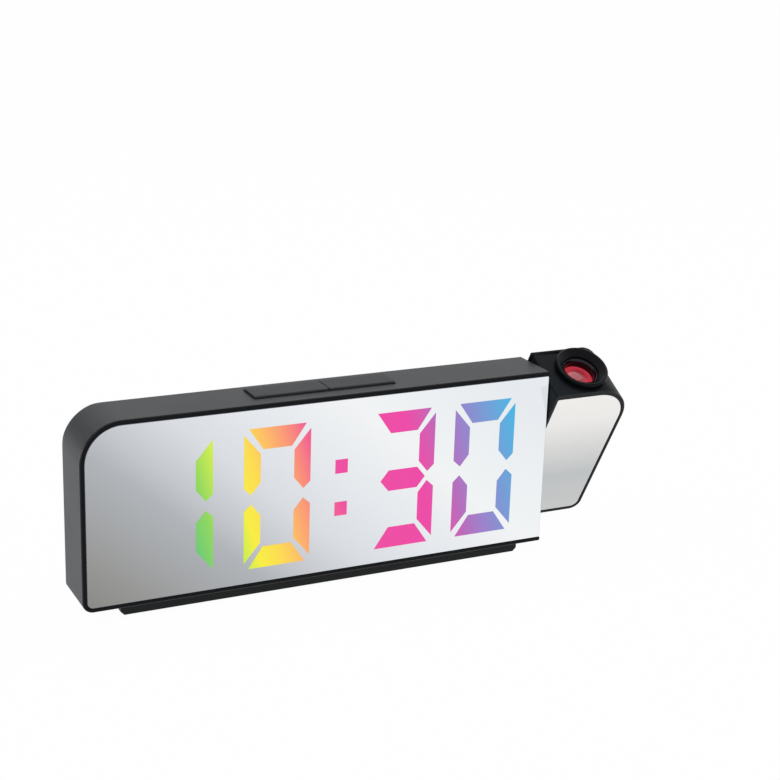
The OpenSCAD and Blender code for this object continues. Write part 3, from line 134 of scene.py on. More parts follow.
class Graph:
    """The nodes of one material or of the world."""

    def __init__(self, owner):
        owner.use_nodes = True
        self.tree = owner.node_tree
        self.tree.nodes.clear()

    def node(self, kind, settings=None, inputs=None, out=0):
        """A new node with its settings and inputs. The answer is its output of that number or name."""
        made = self.tree.nodes.new("ShaderNode" + kind)
        for name, value in (settings or {}).items():
            if name == "stops":
                self.fill_ramp(made.color_ramp, value)
            else:
                setattr(made, name, value)
        for name, value in (inputs or {}).items():
            socket = made.inputs[name]
            if isinstance(value, Value):
                self.tree.links.new(value.socket, socket)
            elif socket.type == "RGBA":
                socket.default_value = (*value[:3], 1.0)
            else:
                socket.default_value = value
        return Value(self, made.outputs[out]) if made.outputs else made

    @staticmethod
    def fill_ramp(ramp, stops):
        while len(ramp.elements) < len(stops):
            ramp.elements.new(0.5)
        for element, (place, colour) in zip(ramp.elements, stops):
            element.position = place
            element.color = (*colour, 1.0)

    def place(self):
        """The point being shaded, in metres, in the object's own frame."""
        return self.node("TexCoord", out="Object")

    def split(self, vector):
        parts = self.node("SeparateXYZ", {}, {0: vector})
        outputs = parts.socket.node.outputs
        return [Value(self, outputs[i]) for i in range(3)]

    def noise(self, scale, detail=2.0, stretch=None):
        where = self.place()
        if stretch:
            where = self.node("VectorMath", {"operation": "MULTIPLY"}, {0: where, 1: stretch})
        return self.node("TexNoise", {}, {"Vector": where, "Scale": scale, "Detail": detail})

    def blend(self, factor, first, second):
        """A colour between two colours."""
        return self.node("Mix", {"data_type": "RGBA"}, {0: factor, 6: first, 7: second}, out=2)

    def bump(self, height, strength, depth):
        return self.node("Bump", {}, {"Height": height, "Strength": strength, "Distance": depth})

    def surface(self, shader):
        self.node("OutputMaterial", {}, {"Surface": shader})


def srgb(red, green, blue):
    """Screen values from 0 to 255 as the linear numbers that shaders use."""
    c = np.array([red, green, blue]) / 255
    return tuple(float(v) for v in np.where(c <= 0.04045, c / 12.92, ((c + 0.055) / 1.055) ** 2.4))


def material(name):
    made = bpy.data.materials.new(name)
    return made, Graph(made)


print("shader maths ready")

# %% [markdown]
# ## Moulded black plastic
#
# The housing is injection-moulded ABS. Its mould is sparked to a fine even grain, which breaks up
# reflections so that the plastic looks satin. Two scales matter: grain of about 0.4 mm, which is
# pressed into the surface and so is a bump, and slow changes over centimetres where the melt cooled
# at another rate, which show only as a change in gloss.

# %% Plastics
GRAIN_WAVES, CLOUD_WAVES = 2600, 38     # in a metre
GRAIN_DEPTH = 0.06 * MM


def moulded(name, base, roughness, grain=0.12, level=0.5):
    """Moulded plastic: base is its colour, grain the strength of its texture, and level says how
    much of a clear plastic's shine it has."""
    made, g = material(name)
    fine = g.noise(GRAIN_WAVES, 3.0)
    slow = g.noise(CLOUD_WAVES, 3.0)
    lighter = tuple(min(1.0, 1.22 * c + 0.001) for c in base)
    g.surface(g.node("BsdfPrincipled", {}, {
        "Base Color": g.blend(slow, base, lighter),
        "Roughness": roughness - 0.05 + slow * 0.1 + fine * 0.02,
        "Specular IOR Level": level, "Normal": g.bump(fine, grain, GRAIN_DEPTH)}))
    return made


LOOKS = {
    "housing_black": moulded("housing_black", (0.0185, 0.0215, 0.0250), 0.48, level=0.42),
    "arm_black": moulded("arm_black", (0.0048, 0.0068, 0.0092), 0.38, level=0.05),
    "key_grey": moulded("key_grey", (0.0175, 0.0210, 0.0240), 0.5, level=0.27),
    "button_black": moulded("button_black", (0.030, 0.032, 0.034), 0.42, 0.06),
    "door_black": moulded("door_black", (0.024, 0.026, 0.028), 0.5),
    "foot_black": moulded("foot_black", (0.0055, 0.0065, 0.0080), 0.42, level=0.2),
    "inner_black": moulded("inner_black", (0.016, 0.016, 0.017), 0.6),
    "bush_nylon": moulded("bush_nylon", (0.72, 0.69, 0.58), 0.42, 0.04),
    "led_cream": moulded("led_cream", (0.78, 0.72, 0.47), 0.35, 0.02),
    "lead_white": moulded("lead_white", (0.70, 0.70, 0.66), 0.45, 0.04),
    "diffuser_white": moulded("diffuser_white", (0.80, 0.80, 0.77), 0.65, 0.1),
}
print(len(LOOKS), "plastics")

# %% [markdown]
# ## The polished front edge
#
# The narrow border round the mirror looks much darker than the sides. It was left polished in the
# mould, so it sends no scattered light to the lens and shows only what is straight in front of it.
# Its rounded rim is glossier still.

# %% Polished plastic
def polished(name, roughness, level):
    """Plastic straight from a polished mould: almost black, with a smooth surface."""
    made, g = material(name)
    g.surface(g.node("BsdfPrincipled", {}, {
        "Base Color": g.blend(g.noise(30), (0.0034, 0.0040, 0.0054), (0.0052, 0.0060, 0.0077)),
        "Roughness": roughness + g.noise(120) * 0.06, "Specular IOR Level": level}))
    return made


gloss = polished("border_gloss", 0.25, 0.10)
rim = polished("border_rim", 0.12, 0.30)
print("polished border and rim")

# %% [markdown]
# ## Rubber, wire, epoxy and metals
#
# The pieces that nobody sees until the clock is opened still get their real finish. Rubber is matt
# with a talc-like bloom. Plated steel shows the fine rings or lines of the tool that cut it, so its
# noise is stretched along one direction. Solder mask is a clear green varnish over copper tracks.

# %% Metals, rubber and circuit boards
def metal(name, base, roughness, stretch=(1, 1, 1), scratch=0.25):
    """Metal with a brushed look: the noise is stretched along the direction of brushing."""
    made, g = material(name)
    lines = g.noise(900, 3.0, stretch)
    cloud = g.noise(120, 2.0)
    darker = tuple(0.82 * c for c in base)
    g.surface(g.node("BsdfPrincipled", {}, {
        "Base Color": g.blend(cloud, base, darker), "Metallic": 1.0,
        "Roughness": roughness - 0.06 + lines * 0.12,
        "Normal": g.bump(lines, scratch, 0.02 * MM)}))
    return made


def rubber(name, base, roughness):
    """Matt rubber or epoxy with fine pores and a pale bloom in large patches."""
    made, g = material(name)
    pores = g.noise(1800, 4.0)
    bloom = g.noise(60, 3.0)
    g.surface(g.node("BsdfPrincipled", {}, {
        "Base Color": g.blend(bloom.step(0.45, 0.8), base, tuple(1.5 * c + 0.004 for c in base)),
        "Roughness": roughness + bloom * 0.12, "Specular IOR Level": 0.3,
        "Normal": g.bump(pores, 0.35, 0.05 * MM)}))
    return made


def board(name):
    """Solder mask over copper: cell borders stand for tracks, and small dots for plated holes."""
    made, g = material(name)
    where = g.place()
    cells = g.node("TexVoronoi", {"feature": "DISTANCE_TO_EDGE"}, {"Vector": where, "Scale": 240})
    tracks = 1 - cells.step(0.03, 0.07)
    dots = g.node("TexVoronoi", {"feature": "F1"}, {"Vector": where, "Scale": 150})
    holes = 1 - dots.step(0.08, 0.11)
    mask = g.blend(tracks, (0.010, 0.085, 0.032), (0.030, 0.170, 0.065))
    g.surface(g.node("BsdfPrincipled", {}, {
        "Base Color": g.blend(holes, mask, (0.62, 0.60, 0.55)),
        "Metallic": holes * 0.9, "Roughness": 0.34 - holes * 0.08,
        "Normal": g.bump(tracks, 0.4, 0.03 * MM)}))
    return made


LOOKS["strip_rubber"] = rubber("strip_rubber", (0.016, 0.016, 0.016), 0.72)
LOOKS["wire_red"] = rubber("wire_red", (0.42, 0.022, 0.016), 0.5)
LOOKS["chip_black"] = rubber("chip_black", (0.013, 0.013, 0.014), 0.5)
LOOKS["board_green"] = board("board_green")
LOOKS["screw_steel"] = metal("screw_steel", (0.60, 0.60, 0.62), 0.32, (1, 6, 1))
LOOKS["screw_black"] = metal("screw_black", (0.055, 0.055, 0.060), 0.38, (1, 6, 1))
LOOKS["socket_steel"] = metal("socket_steel", (0.64, 0.64, 0.66), 0.24, (1, 8, 1))
LOOKS["cell_steel"] = metal("cell_steel", (0.68, 0.68, 0.66), 0.28, (8, 1, 1))
LOOKS["contact_brass"] = metal("contact_brass", (0.72, 0.52, 0.20), 0.3, (8, 1, 1))
LOOKS["spring_steel"] = metal("spring_steel", (0.40, 0.40, 0.42), 0.34, (1, 6, 6))
print(len(LOOKS), "looks so far")

# %% [markdown]
# ## Glass and light sources
#
# Clear lenses are polished and slightly tinted by their coating. The projector's front lens is lit
# from below by a red diode: it glows, more at its edge than in its middle, where the dark slide
# lies under it, and its polished dome still mirrors the lamps.

# %% Lenses and diode
def clear(name, tint, roughness):
    """Clear plastic with a slight haze in its tint."""
    made, g = material(name)
    haze = g.noise(300, 2.0)
    g.surface(g.node("BsdfPrincipled", {}, {
        "Base Color": g.blend(haze, tint, tuple(0.93 * c for c in tint)),
        "Roughness": roughness + haze * 0.03, "IOR": 1.49, "Transmission Weight": 0.85}))
    return made


axis = Vector(JOINTS["focus_turn"]["axis"]).normalized()
ring_middle = Vector(JOINTS["focus_turn"]["pos_m"])

LOOKS["lens_clear"] = clear("lens_clear", (0.86, 0.91, 0.95), 0.04)
LOOKS["slide_glass"] = clear("slide_glass", (0.30, 0.33, 0.37), 0.08)

GLOW_FROM, GLOW_TO = 1.2 * MM, 5.6 * MM

# How far a point is from the projector's axis: its offset less the part along the axis.
red, g = material("lens_red")
away = g.node("VectorMath", {"operation": "SUBTRACT"}, {0: g.place(), 1: ring_middle})
along = g.node("VectorMath", {"operation": "DOT_PRODUCT"}, {0: away, 1: axis}, out="Value")
height = g.node("VectorMath", {"operation": "SCALE"}, {0: axis, "Scale": along})
sideways = g.node("VectorMath", {"operation": "SUBTRACT"}, {0: away, 1: height})
radius = g.node("VectorMath", {"operation": "LENGTH"}, {0: sideways}, out="Value")
edge = radius.step(GLOW_FROM, GLOW_TO)
g.surface(g.node("BsdfPrincipled", {}, {
    "Base Color": g.blend(edge, (0.06, 0.004, 0.006), (0.20, 0.010, 0.020)),
    "Roughness": 0.05 + g.noise(400) * 0.03, "Specular IOR Level": 0.35,
    "Coat Weight": 0.2, "Coat Roughness": 0.02,
    "Emission Color": g.blend(edge, srgb(132, 34, 44), srgb(182, 50, 64)),
    "Emission Strength": 1.0}))
LOOKS["lens_red"] = red

glow, g = material("led_red")
g.surface(g.node("BsdfPrincipled", {}, {
    "Base Color": g.blend(g.noise(500), (0.6, 0.02, 0.015), (0.75, 0.04, 0.03)),
    "Roughness": 0.18 + g.noise(700) * 0.06,
    "Emission Color": g.blend(g.noise(500), (1.0, 0.05, 0.03), (1.0, 0.12, 0.08)),
    "Emission Strength": 1.2}))
LOOKS["led_red"] = glow
LOOKS["barrel_chrome"] = metal("barrel_chrome", (0.030, 0.030, 0.036), 0.2, (1, 1, 1), 0.05)
LOOKS["ring_black"] = moulded("ring_black", (0.0036, 0.0042, 0.0052), 0.3, 0.03, level=0.09)
print(len(LOOKS), "looks so far")

# %% [markdown]
# ## The half-silvered mirror
#
# The face is acrylic with a thin metal coat that reflects most light and lets the digits through. In
# the photograph it passes from mid grey at its lower left to nearly white at its right. That change
# is a painted reflection in the coat's base colour, standing for the bright side of the studio that
# the coat would catch. It runs along one slanted line, so one ramp over x + 1.16 z gives it. Faint
# long waves in the sheet bend the reflection a little. Towards the right end that painted reflection
# moves from the base colour into a painted glow, so that end shines and mirrors little.

# %% Mirrors
# The painted glow at the mirror's right end: the millimetres it takes to rise, and how much of the colour it takes
# at most.
PAINTED_GLOW_WIDTH, PAINTED_GLOW_MOST = 10, 0.9


def mirror(name, place_of, stops, low, high, painted_glow_from=None):
    """Coated acrylic whose base colour is a painted reflection: a ramp between two places, in
    millimetres. From the place in the last argument on, that colour passes within a centimetre from
    the base colour into a painted glow."""
    made, g = material(name)
    x, y, z = g.split(g.place())
    along = (place_of(x, y, z) * (1 / MM) - low) / (high - low)
    places = [((at - low) / (high - low), srgb(*colour)) for at, colour in stops]
    # The ramp's colour is a painted reflection, put into the base colour.
    tint = g.node("ValToRGB", {"stops": places}, {0: along})
    wave = g.noise(9, 1.0)
    inputs = {"Base Color": tint, "Metallic": 1.0, "Roughness": 0.045 + g.noise(300) * 0.02,
              "Normal": g.bump(wave, 0.04, 0.4 * MM)}
    # Past that place the painted reflection is emitted and mirrors little: a painted glow.
    if painted_glow_from is not None:
        painted_glow_to = painted_glow_from + PAINTED_GLOW_WIDTH
        painted_glow = x.step(painted_glow_from * MM, painted_glow_to * MM) * PAINTED_GLOW_MOST
        inputs["Base Color"] = g.blend(painted_glow, tint, (0.0, 0.0, 0.0))
        inputs["Emission Color"] = g.blend(painted_glow, (0.0, 0.0, 0.0), tint)
        inputs["Emission Strength"] = 1.0
    g.surface(g.node("BsdfPrincipled", {}, inputs))
    return made


MIRROR_MIDDLE, MIRROR_LEAN = 38 * MM, 1.16
# Painted reflection on the clock's face: grey at the lower left to nearly white at the right, in screen values
# along the ramp in millimetres.
FRONT_PAINTED_REFLECTION = [(-125, (139, 139, 136)), (-105, (152, 152, 150)), (-85, (164, 166, 168)),
               (-60, (177, 181, 185)), (-45, (196, 199, 203)), (-20, (218, 221, 226)),
               (10, (230, 233, 237)), (47, (242, 244, 245)), (75, (237, 241, 243)),
               (111, (231, 235, 239))]
# Painted reflection on the arm's mirror: grey low down to pale at the top, over heights in millimetres.
ARM_PAINTED_REFLECTION = [(8, (197, 198, 198)), (24, (190, 193, 195)), (38, (214, 214, 213)),
             (52, (235, 234, 232)), (68, (242, 239, 235))]
front_mirror = mirror("front_mirror", lambda x, y, z: x + (z - MIRROR_MIDDLE) * MIRROR_LEAN,
                      FRONT_PAINTED_REFLECTION, -130, 115, painted_glow_from=77)
arm_mirror = mirror("arm_mirror", lambda x, y, z: z, ARM_PAINTED_REFLECTION, 0, 75)

sheet_edge, g = material("mirror_edge")
# The lavender is also emitted at 0.15: a faint painted glow on the acrylic's edge.
lavender = g.blend(g.noise(60), srgb(128, 130, 150), srgb(146, 147, 168))
g.surface(g.node("BsdfPrincipled", {}, {
    "Base Color": lavender, "Roughness": 0.2 + g.noise(300) * 0.08,
    "Emission Color": lavender, "Emission Strength": 0.15}))
print("two mirrors and the acrylic's edge")

# %% [markdown]
# ## The lit digits
#
# Behind the mirror a row of white chips shines through a printed film, so the colour changes across
# the display: green, yellow, orange, pink, violet, blue. The change leans a little, so the ramp runs
# over x + 0.3 z. The segments give light and mirror none.

# %% Lit digits
DIGIT_TINTS = [(-60, (80, 195, 130)), (-47, (146, 216, 96)), (-38, (208, 238, 82)),
               (-33, (248, 238, 70)), (-25, (253, 220, 84)), (-14, (253, 172, 112)),
               (-8, (250, 142, 124)), (-2, (243, 102, 144)), (6, (239, 82, 162)),
               (38, (238, 78, 168)), (44, (218, 92, 176)), (50, (186, 108, 187)),
               (58, (160, 128, 202)), (66, (134, 146, 209)), (82, (80, 180, 226))]
DIGITS_FROM, DIGITS_TO = -75, 90
DIGITS_MIDDLE, DIGITS_LEAN = 38.6 * MM, 0.3
digits, g = material("lit_image")
x, y, z = g.split(g.place())
span = DIGITS_TO - DIGITS_FROM
along = ((x + (z - DIGITS_MIDDLE) * DIGITS_LEAN) * (1 / MM) - DIGITS_FROM) / span
places = [((at - DIGITS_FROM) / span, srgb(*colour)) for at, colour in DIGIT_TINTS]
shine = g.node("ValToRGB", {"stops": places}, {0: along})
g.surface(g.node("BsdfPrincipled", {}, {
    "Base Color": (0.0, 0.0, 0.0), "Roughness": 0.5, "Specular IOR Level": 0.0,
    "Emission Color": shine, "Emission Strength": 1.0}))
LOOKS["lit_image"] = digits
print("lit digits")

# %% [markdown]
# ## Dressing a CAD node
#
# A CAD edge is perfectly sharp, and no moulded edge is. `skin` copies a node and rounds its sharp
# edges with a Bevel modifier, so that they catch a line of light. With `cut` it leaves out what lies
# in front of a plane, where a smoother surface takes over. A copy with no bevel gets weighted
# normals instead: its large flat faces then set the shading, and long thin triangles don't streak.
# The arm is tilted about its hinge in the photograph, so what is drawn for its closed place is
# turned by the same angle.

# %% Copies of CAD nodes
TILT = math.radians(29.0)
HINGE = Vector(JOINTS["arm_swing"]["pos_m"])
TILTED = Matrix.Translation(HINGE) @ Matrix.Rotation(TILT, 4, "X") @ Matrix.Translation(-HINGE)
ARM_BODIES = ("arm", "focus_ring", "lens_barrel")
COPY_WELD, OWN_WELD = 0.02 * MM, 1e-7


def place_of_node(node):
    """The matrix from a node's closed place to the photographed one."""
    return TILTED if BODY_OF[node] in ARM_BODIES else Matrix.Identity(4)


def stand_for(piece, *nodes):
    """The piece rides with these nodes' body and replaces them."""
    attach(piece, BODY_OF[nodes[0]])
    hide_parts(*nodes)
    return piece


def finished(name, mesh, looks, sharp=32):
    """An object of this mesh, smooth except where two faces meet at more than the sharp angle."""
    for look in looks:
        mesh.materials.append(look)
    mesh.shade_smooth()
    mesh.set_sharp_from_angle(angle=math.radians(sharp))
    piece = bpy.data.objects.new(name, mesh)
    bpy.context.scene.collection.objects.link(piece)
    return piece


def skin(node, width=0.0, cut=None, angle=25, segments=3):
    """A copy of a node: width is the rounding of its sharp edges, cut the plane that ends it."""
    bm = bmesh.new()
    bm.from_mesh(NODES[node].data)
    bmesh.ops.remove_doubles(bm, verts=bm.verts, dist=COPY_WELD)
    if width:
        bmesh.ops.dissolve_limit(bm, angle_limit=math.radians(0.1), verts=bm.verts, edges=bm.edges)
        weight = bm.edges.layers.float.new("bevel_weight_edge")
        for edge in bm.edges:
            if len(edge.link_faces) == 2 and edge.calc_face_angle(0.0) > math.radians(angle):
                edge[weight] = 1.0
    if cut is not None:
        place = place_of_node(node)
        bmesh.ops.bisect_plane(bm, geom=bm.verts[:] + bm.edges[:] + bm.faces[:], dist=OWN_WELD,
                               plane_co=place @ Vector((0, cut * MM, 0)),
                               plane_no=place.to_3x3() @ Vector((0, -1, 0)), clear_outer=True)
    mesh = bpy.data.meshes.new(node + "_skin")
    bm.to_mesh(mesh)
    bm.free()
    piece = finished(node + "_skin", mesh, [LOOKS[SLOT_OF[node]]])
    if width:
        bevel = piece.modifiers.new("edges", "BEVEL")
        bevel.limit_method = "WEIGHT"
        bevel.width = width * MM
        bevel.segments = segments
        bevel.harden_normals = True
    else:
        normals = piece.modifiers.new("normals", "WEIGHTED_NORMAL")
        normals.keep_sharp = True
        normals.weight = 100
    return stand_for(piece, node)


print("ready to dress", len(NODES), "nodes")

# %% [markdown]
# ## Outlines, and surfaces through them
#
# The border and the mirrors are flat shapes with a rounded edge. Such an edge is a stack of
# outlines: each row lies a little further in and a little further forward, along a quarter circle.
# `lofted` joins the rows by quads. Two rows close together hold the shading flat on each side.

# %% Outlines and lofts
HOLD = 0.03                 # between two rows that hold the shading, in millimetres
LEAST_RADIUS = 0.001
ROUND_ROWS = 6


def outline(box, radii, inset=0.0, runs_out=False, steps=20):
    """Points in X and Z round a rectangle, in millimetres: from the upper right corner leftwards.
    Each corner is a quarter circle, its centre plus its radius times (cos a, sin a). The inset moves
    the line inwards, and each radius shrinks with it; a line that runs out keeps its right end."""
    x0, x1, z0, z1 = box
    right = x1 if runs_out else x1 - inset
    corner = np.array([(right, z1 - inset), (x0 + inset, z1 - inset), (x0 + inset, z0 + inset),
                       (right, z0 + inset)], float)[:, None]
    outwards = np.array([(1, 1), (-1, 1), (-1, -1), (1, -1)])[:, None]
    radius = np.maximum(np.array(radii, float) - inset, LEAST_RADIUS)[:, None, None]
    angle = np.radians(90 * np.arange(4)[:, None] + np.linspace(0, 90, steps))
    direction = np.stack([np.cos(angle), np.sin(angle)], -1)
    return (corner - outwards * radius + radius * direction).reshape(-1, 2)


def edge_rows(box, radii, front, r, back, runs_out=False):
    """Rows of an outer edge: from the back plane forwards, then over a quarter circle of radius r,
    where the inset is r (1 - cos a) and the depth below the front is r (1 - sin a)."""
    angles = np.linspace(0, math.pi / 2, ROUND_ROWS)
    path = [(0.0, back), (0.0, front + r + HOLD)]
    path += [(r * (1 - math.cos(a)), front + r * (1 - math.sin(a))) for a in angles]
    path.append((r + HOLD, front))
    return [(outline(box, radii, inset, runs_out), y) for inset, y in path]


def welded(name, points, faces, looks=None):
    """A mesh with its doubled points merged and its faces turned outwards. looks gives the number
    of each face's look."""
    mesh = bpy.data.meshes.new(name)
    mesh.from_pydata(points, [], faces)
    if looks is not None:
        mesh.polygons.foreach_set("material_index", looks)
    bm = bmesh.new()
    bm.from_mesh(mesh)
    bmesh.ops.remove_doubles(bm, verts=bm.verts, dist=OWN_WELD)
    bmesh.ops.recalc_face_normals(bm, faces=bm.faces)
    bm.to_mesh(mesh)
    bm.free()
    return mesh


def lofted(name, node, rows, looks, second_bands, closed=True, cap=False):
    """A surface through rows of (outline, y), with flat ends where cap is True. A band is the strip
    of faces between two rows, and the first second_bands of them take the second look."""
    points = np.concatenate([np.insert(xz, 1, y, axis=1) for xz, y in rows]) * MM
    place = np.array(place_of_node(node))
    points = points @ place[:3, :3].T + place[:3, 3]
    count, length = len(rows), len(rows[0][0])
    in_band = length if closed else length - 1
    row, step = np.meshgrid(np.arange(count - 1), np.arange(in_band), indexing="ij")
    here, beside = row * length + step, row * length + (step + 1) % length
    faces = np.stack([here, here + length, beside + length, beside], -1).reshape(-1, 4).tolist()
    if cap:
        faces += [list(range(length)), list(range((count - 1) * length, count * length))]
    second = (np.arange(len(faces)) < second_bands * in_band).astype(np.int32)
    return stand_for(finished(name, welded(name, points, faces, second), looks), node)


print("ready to loft")

# %% [markdown]
# ## Housing, rear cover and mirror
#
# The shell is one moulding with an open back. Its front edge is eased by about a third of a
# millimetre, because a sharper one would chip the tool. The line between shell and cover is fine
# and tight, so nothing is rounded there. The mirror's own edge is polished, and the acrylic shows
# there as a thin lavender line inside the border, with a faint painted glow. Boxes are (left,
# right, low, top), and corner radii go from the upper right leftwards, all in millimetres and with
# the arm closed.

# %% Dress the housing
FRONT, FACE, SHEET_BACK = -11.0, -10.8, -8.8
EASE, LIP, SHEET_EASE = 0.35, 0.12, 0.22
CUT = FRONT + EASE + HOLD
LIP_ROWS = 5
RIM_BANDS = ROUND_ROWS + 2      # all of an outer edge
SHEET_BANDS = ROUND_ROWS        # an outer edge without its last two bands
GAP = 0.1                       # between a border and its mirror
CRISP = 0.6                     # the radius of a corner that looks square
TOP = 73.9
BORDER_TOP, BORDER_LOW = 1.8, 1.4
HOUSING = (-91.5, 91.5, 4.8, TOP)
HOUSING_BORDER = 1.7
HOUSING_CORNER, HOUSING_LOW_CORNER = 15.3, 4.0


def shrunk(box, left, right, low, top):
    """The box with each side moved inwards by its own distance."""
    return (box[0] + left, box[1] - right, box[2] + low, box[3] - top)


def border(name, node, box, radii, hole, hole_radii, runs_out=False):
    """The narrow frame round a mirror: its outer edge, its face, and the step down to the mirror."""
    down = [(LIP * (math.sin(a) - 1), FRONT + LIP * (1 - math.cos(a)))
            for a in np.linspace(0, math.pi / 2, LIP_ROWS)]
    inner = [(-LIP - HOLD, FRONT)] + down + [(0.0, CUT)]
    rows = edge_rows(box, radii, FRONT, EASE, CUT, runs_out)
    rows += [(outline(hole, hole_radii, inset, runs_out), y) for inset, y in inner]
    return lofted(name, node, rows, [gloss, rim], RIM_BANDS, closed=not runs_out)


def mirror_piece(name, node, box, radii, look):
    """A mirror sheet with an eased front edge and a flat back."""
    rows = edge_rows(box, radii, FACE, SHEET_EASE, SHEET_BACK)
    return lofted(name, node, rows, [look, sheet_edge], SHEET_BANDS, cap=True)


inner_corner, inner_low = HOUSING_CORNER - HOUSING_BORDER, HOUSING_LOW_CORNER - HOUSING_BORDER
hole = shrunk(HOUSING, HOUSING_BORDER, 0, BORDER_LOW, BORDER_TOP)
skin("housing_shell", cut=CUT)
border("housing_border", "housing_shell", HOUSING, (CRISP, HOUSING_CORNER, HOUSING_LOW_CORNER, CRISP),
       hole, (0.0, inner_corner, inner_low, 0.0), runs_out=True)
mirror_piece("mirror_sheet", "mirror_panel", shrunk(hole, GAP, 0, GAP, GAP),
             (CRISP, inner_corner - GAP, inner_low - GAP, CRISP), front_mirror)
skin("rear_cover")
print("housing", HOUSING[1] - HOUSING[0], "mm long, mirror hole", hole)

# %% [markdown]
# ## Keys, buttons, battery door and foot
#
# Each piece gets a rounding of its own, in millimetres: the most on the foot, less on the keys and
# buttons, less again on the battery door, and the least on the screws.

# %% Dress the small pieces
ROUNDINGS = {"snooze_key_left": 0.18, "snooze_key_right": 0.18, "button_mode": 0.15,
             "button_up": 0.15, "button_down": 0.15, "button_alarm": 0.15,
             "button_projector": 0.15, "battery_door": 0.12, "foot_rail": 0.25, "foot_strip": 0.2}
SCREW_ROUNDING = 0.06
for name, width in ROUNDINGS.items():
    skin(name, width)
for name in ("cover_screws", "arm_screws", "foot_screws"):
    skin(name, SCREW_ROUNDING, segments=2)
print(len(ROUNDINGS), "small pieces and three sets of screws dressed")

# %% [markdown]
# ## The projector arm
#
# The arm is a small housing of its own: shell, rear cover and a mirror that continues the clock's
# face when it is folded down. Only its two right corners are rounded, the upper one far more.

# %% Dress the arm
ARM = (91.8, 126.8, 3.0, TOP)
ARM_BORDER_LEFT, ARM_BORDER = 0.8, 1.3
ARM_CORNER, ARM_LOW_CORNER = 15.3, 4.5

inner_corner, inner_low = ARM_CORNER - ARM_BORDER, ARM_LOW_CORNER - ARM_BORDER
hole = shrunk(ARM, ARM_BORDER_LEFT, ARM_BORDER, BORDER_LOW, BORDER_TOP)
skin("arm_shell", cut=CUT)
border("arm_border", "arm_shell", ARM, (ARM_CORNER, CRISP, CRISP, ARM_LOW_CORNER),
       hole, (inner_corner, CRISP, CRISP, inner_low))
mirror_piece("arm_mirror_sheet", "arm_mirror", shrunk(hole, GAP, GAP, GAP, GAP),
             (inner_corner - GAP, CRISP, CRISP, inner_low - GAP), arm_mirror)
skin("arm_cover")
print("arm", ARM[1] - ARM[0], "mm wide, mirror hole", hole)

# %% [markdown]
# ## Focus ring, front lens and barrel
#
# The ring and the lens are round, so each is a profile turned about the projector's axis, as on a
# lathe. The bowl inside the ring is a plain cone that leads the eye, and the light, to the lens. The
# barrel keeps its CAD shape and gets rounded edges.

# %% Turned pieces
def eased(points, radius, steps=5):
    """Rounds the corners of a closed profile. Each corner becomes a short curve that leaves one
    side and joins the other at the given distance from the corner, less where a side is short."""
    p = np.array(points, float)
    back, ahead = np.roll(p, 1, 0) - p, np.roll(p, -1, 0) - p
    back_l = np.linalg.norm(back, axis=1, keepdims=True)
    ahead_l = np.linalg.norm(ahead, axis=1, keepdims=True)
    reach = np.minimum(radius, np.minimum(back_l, ahead_l) / 2.2)
    start, end = p + back / back_l * reach, p + ahead / ahead_l * reach
    t = np.linspace(0, 1, steps)[None, :, None]
    curve = (1 - t) ** 2 * start[:, None] + 2 * t * (1 - t) * p[:, None] + t ** 2 * end[:, None]
    return curve.reshape(-1, 2)


def turned(name, profile, look, steps=160):
    """A closed profile of (radius, height) in millimetres, turned about the projector's axis. Each
    point is the axis point at that height plus the radius times a direction that goes once round.
    Heights are those of the closed arm, whose top is at TOP."""
    r, h = np.array(profile, float).T * MM
    up = np.array(axis)
    across = np.array([1.0, 0.0, 0.0])
    deep = np.cross(up, across)
    angle = np.linspace(0, 2 * math.pi, steps, endpoint=False)
    round_ = np.cos(angle)[:, None] * across + np.sin(angle)[:, None] * deep
    start = np.array(ring_middle) + (h - TOP * MM)[:, None] * up
    points = (start[:, None, :] + r[:, None, None] * round_[None]).reshape(-1, 3)
    rows, columns = np.meshgrid(np.arange(len(r)), np.arange(steps), indexing="ij")
    below, beside = (rows + 1) % len(r), (columns + 1) % steps
    quads = np.stack([rows * steps + columns, rows * steps + beside,
                      below * steps + beside, below * steps + columns], -1).reshape(-1, 4)
    return finished(name, welded(name, points, quads.tolist()), [look], 35)


# The ring's profile: the sleeve with its lip, the collar on top, and the bowl inside.
RING_EASE = 0.22
RING = [(7.0, 64.1), (7.9, 64.1), (7.9, 70.0), (8.5, 70.6), (8.5, 71.6), (7.9, 71.6), (7.9, 74.2),
        (10.5, 74.2), (10.5, 75.7), (10.0, 76.2), (9.5, 76.2), (7.0, 74.3)]
ring = stand_for(turned("focus_ring_turned", eased(RING, RING_EASE), LOOKS["ring_black"]), "focus_ring")

# The lens: a flat back, a straight edge, and a dome that is part of a ball of radius DOME_R.
LENS_R, LENS_BACK, LENS_FRONT, DOME_R = 6.0, 68.5, 71.3, 13.2
dome = np.linspace(LENS_R, 0.0, 24)
LENS = [(0.0, LENS_BACK), (LENS_R, LENS_BACK)]
LENS += [(r, LENS_FRONT - DOME_R + math.sqrt(DOME_R ** 2 - r ** 2)) for r in dome]
lens = stand_for(turned("front_lens_turned", LENS, LOOKS["lens_red"]), "front_lens")
BARREL_ROUNDING = 0.1
skin("lens_barrel", BARREL_ROUNDING)
print("ring", len(ring.data.polygons), "lens", len(lens.data.polygons))

# %% [markdown]
# ## Everything else
#
# The remaining CAD nodes keep their shape and get the finish of their slot.

# %% Finish the other nodes
left_over = [name for name in NODES if not NODES[name].hide_render]
for name in left_over:
    NODES[name].data.materials.clear()
    NODES[name].data.materials.append(LOOKS[SLOT_OF[name]])
print(len(left_over), "nodes keep their CAD shape")

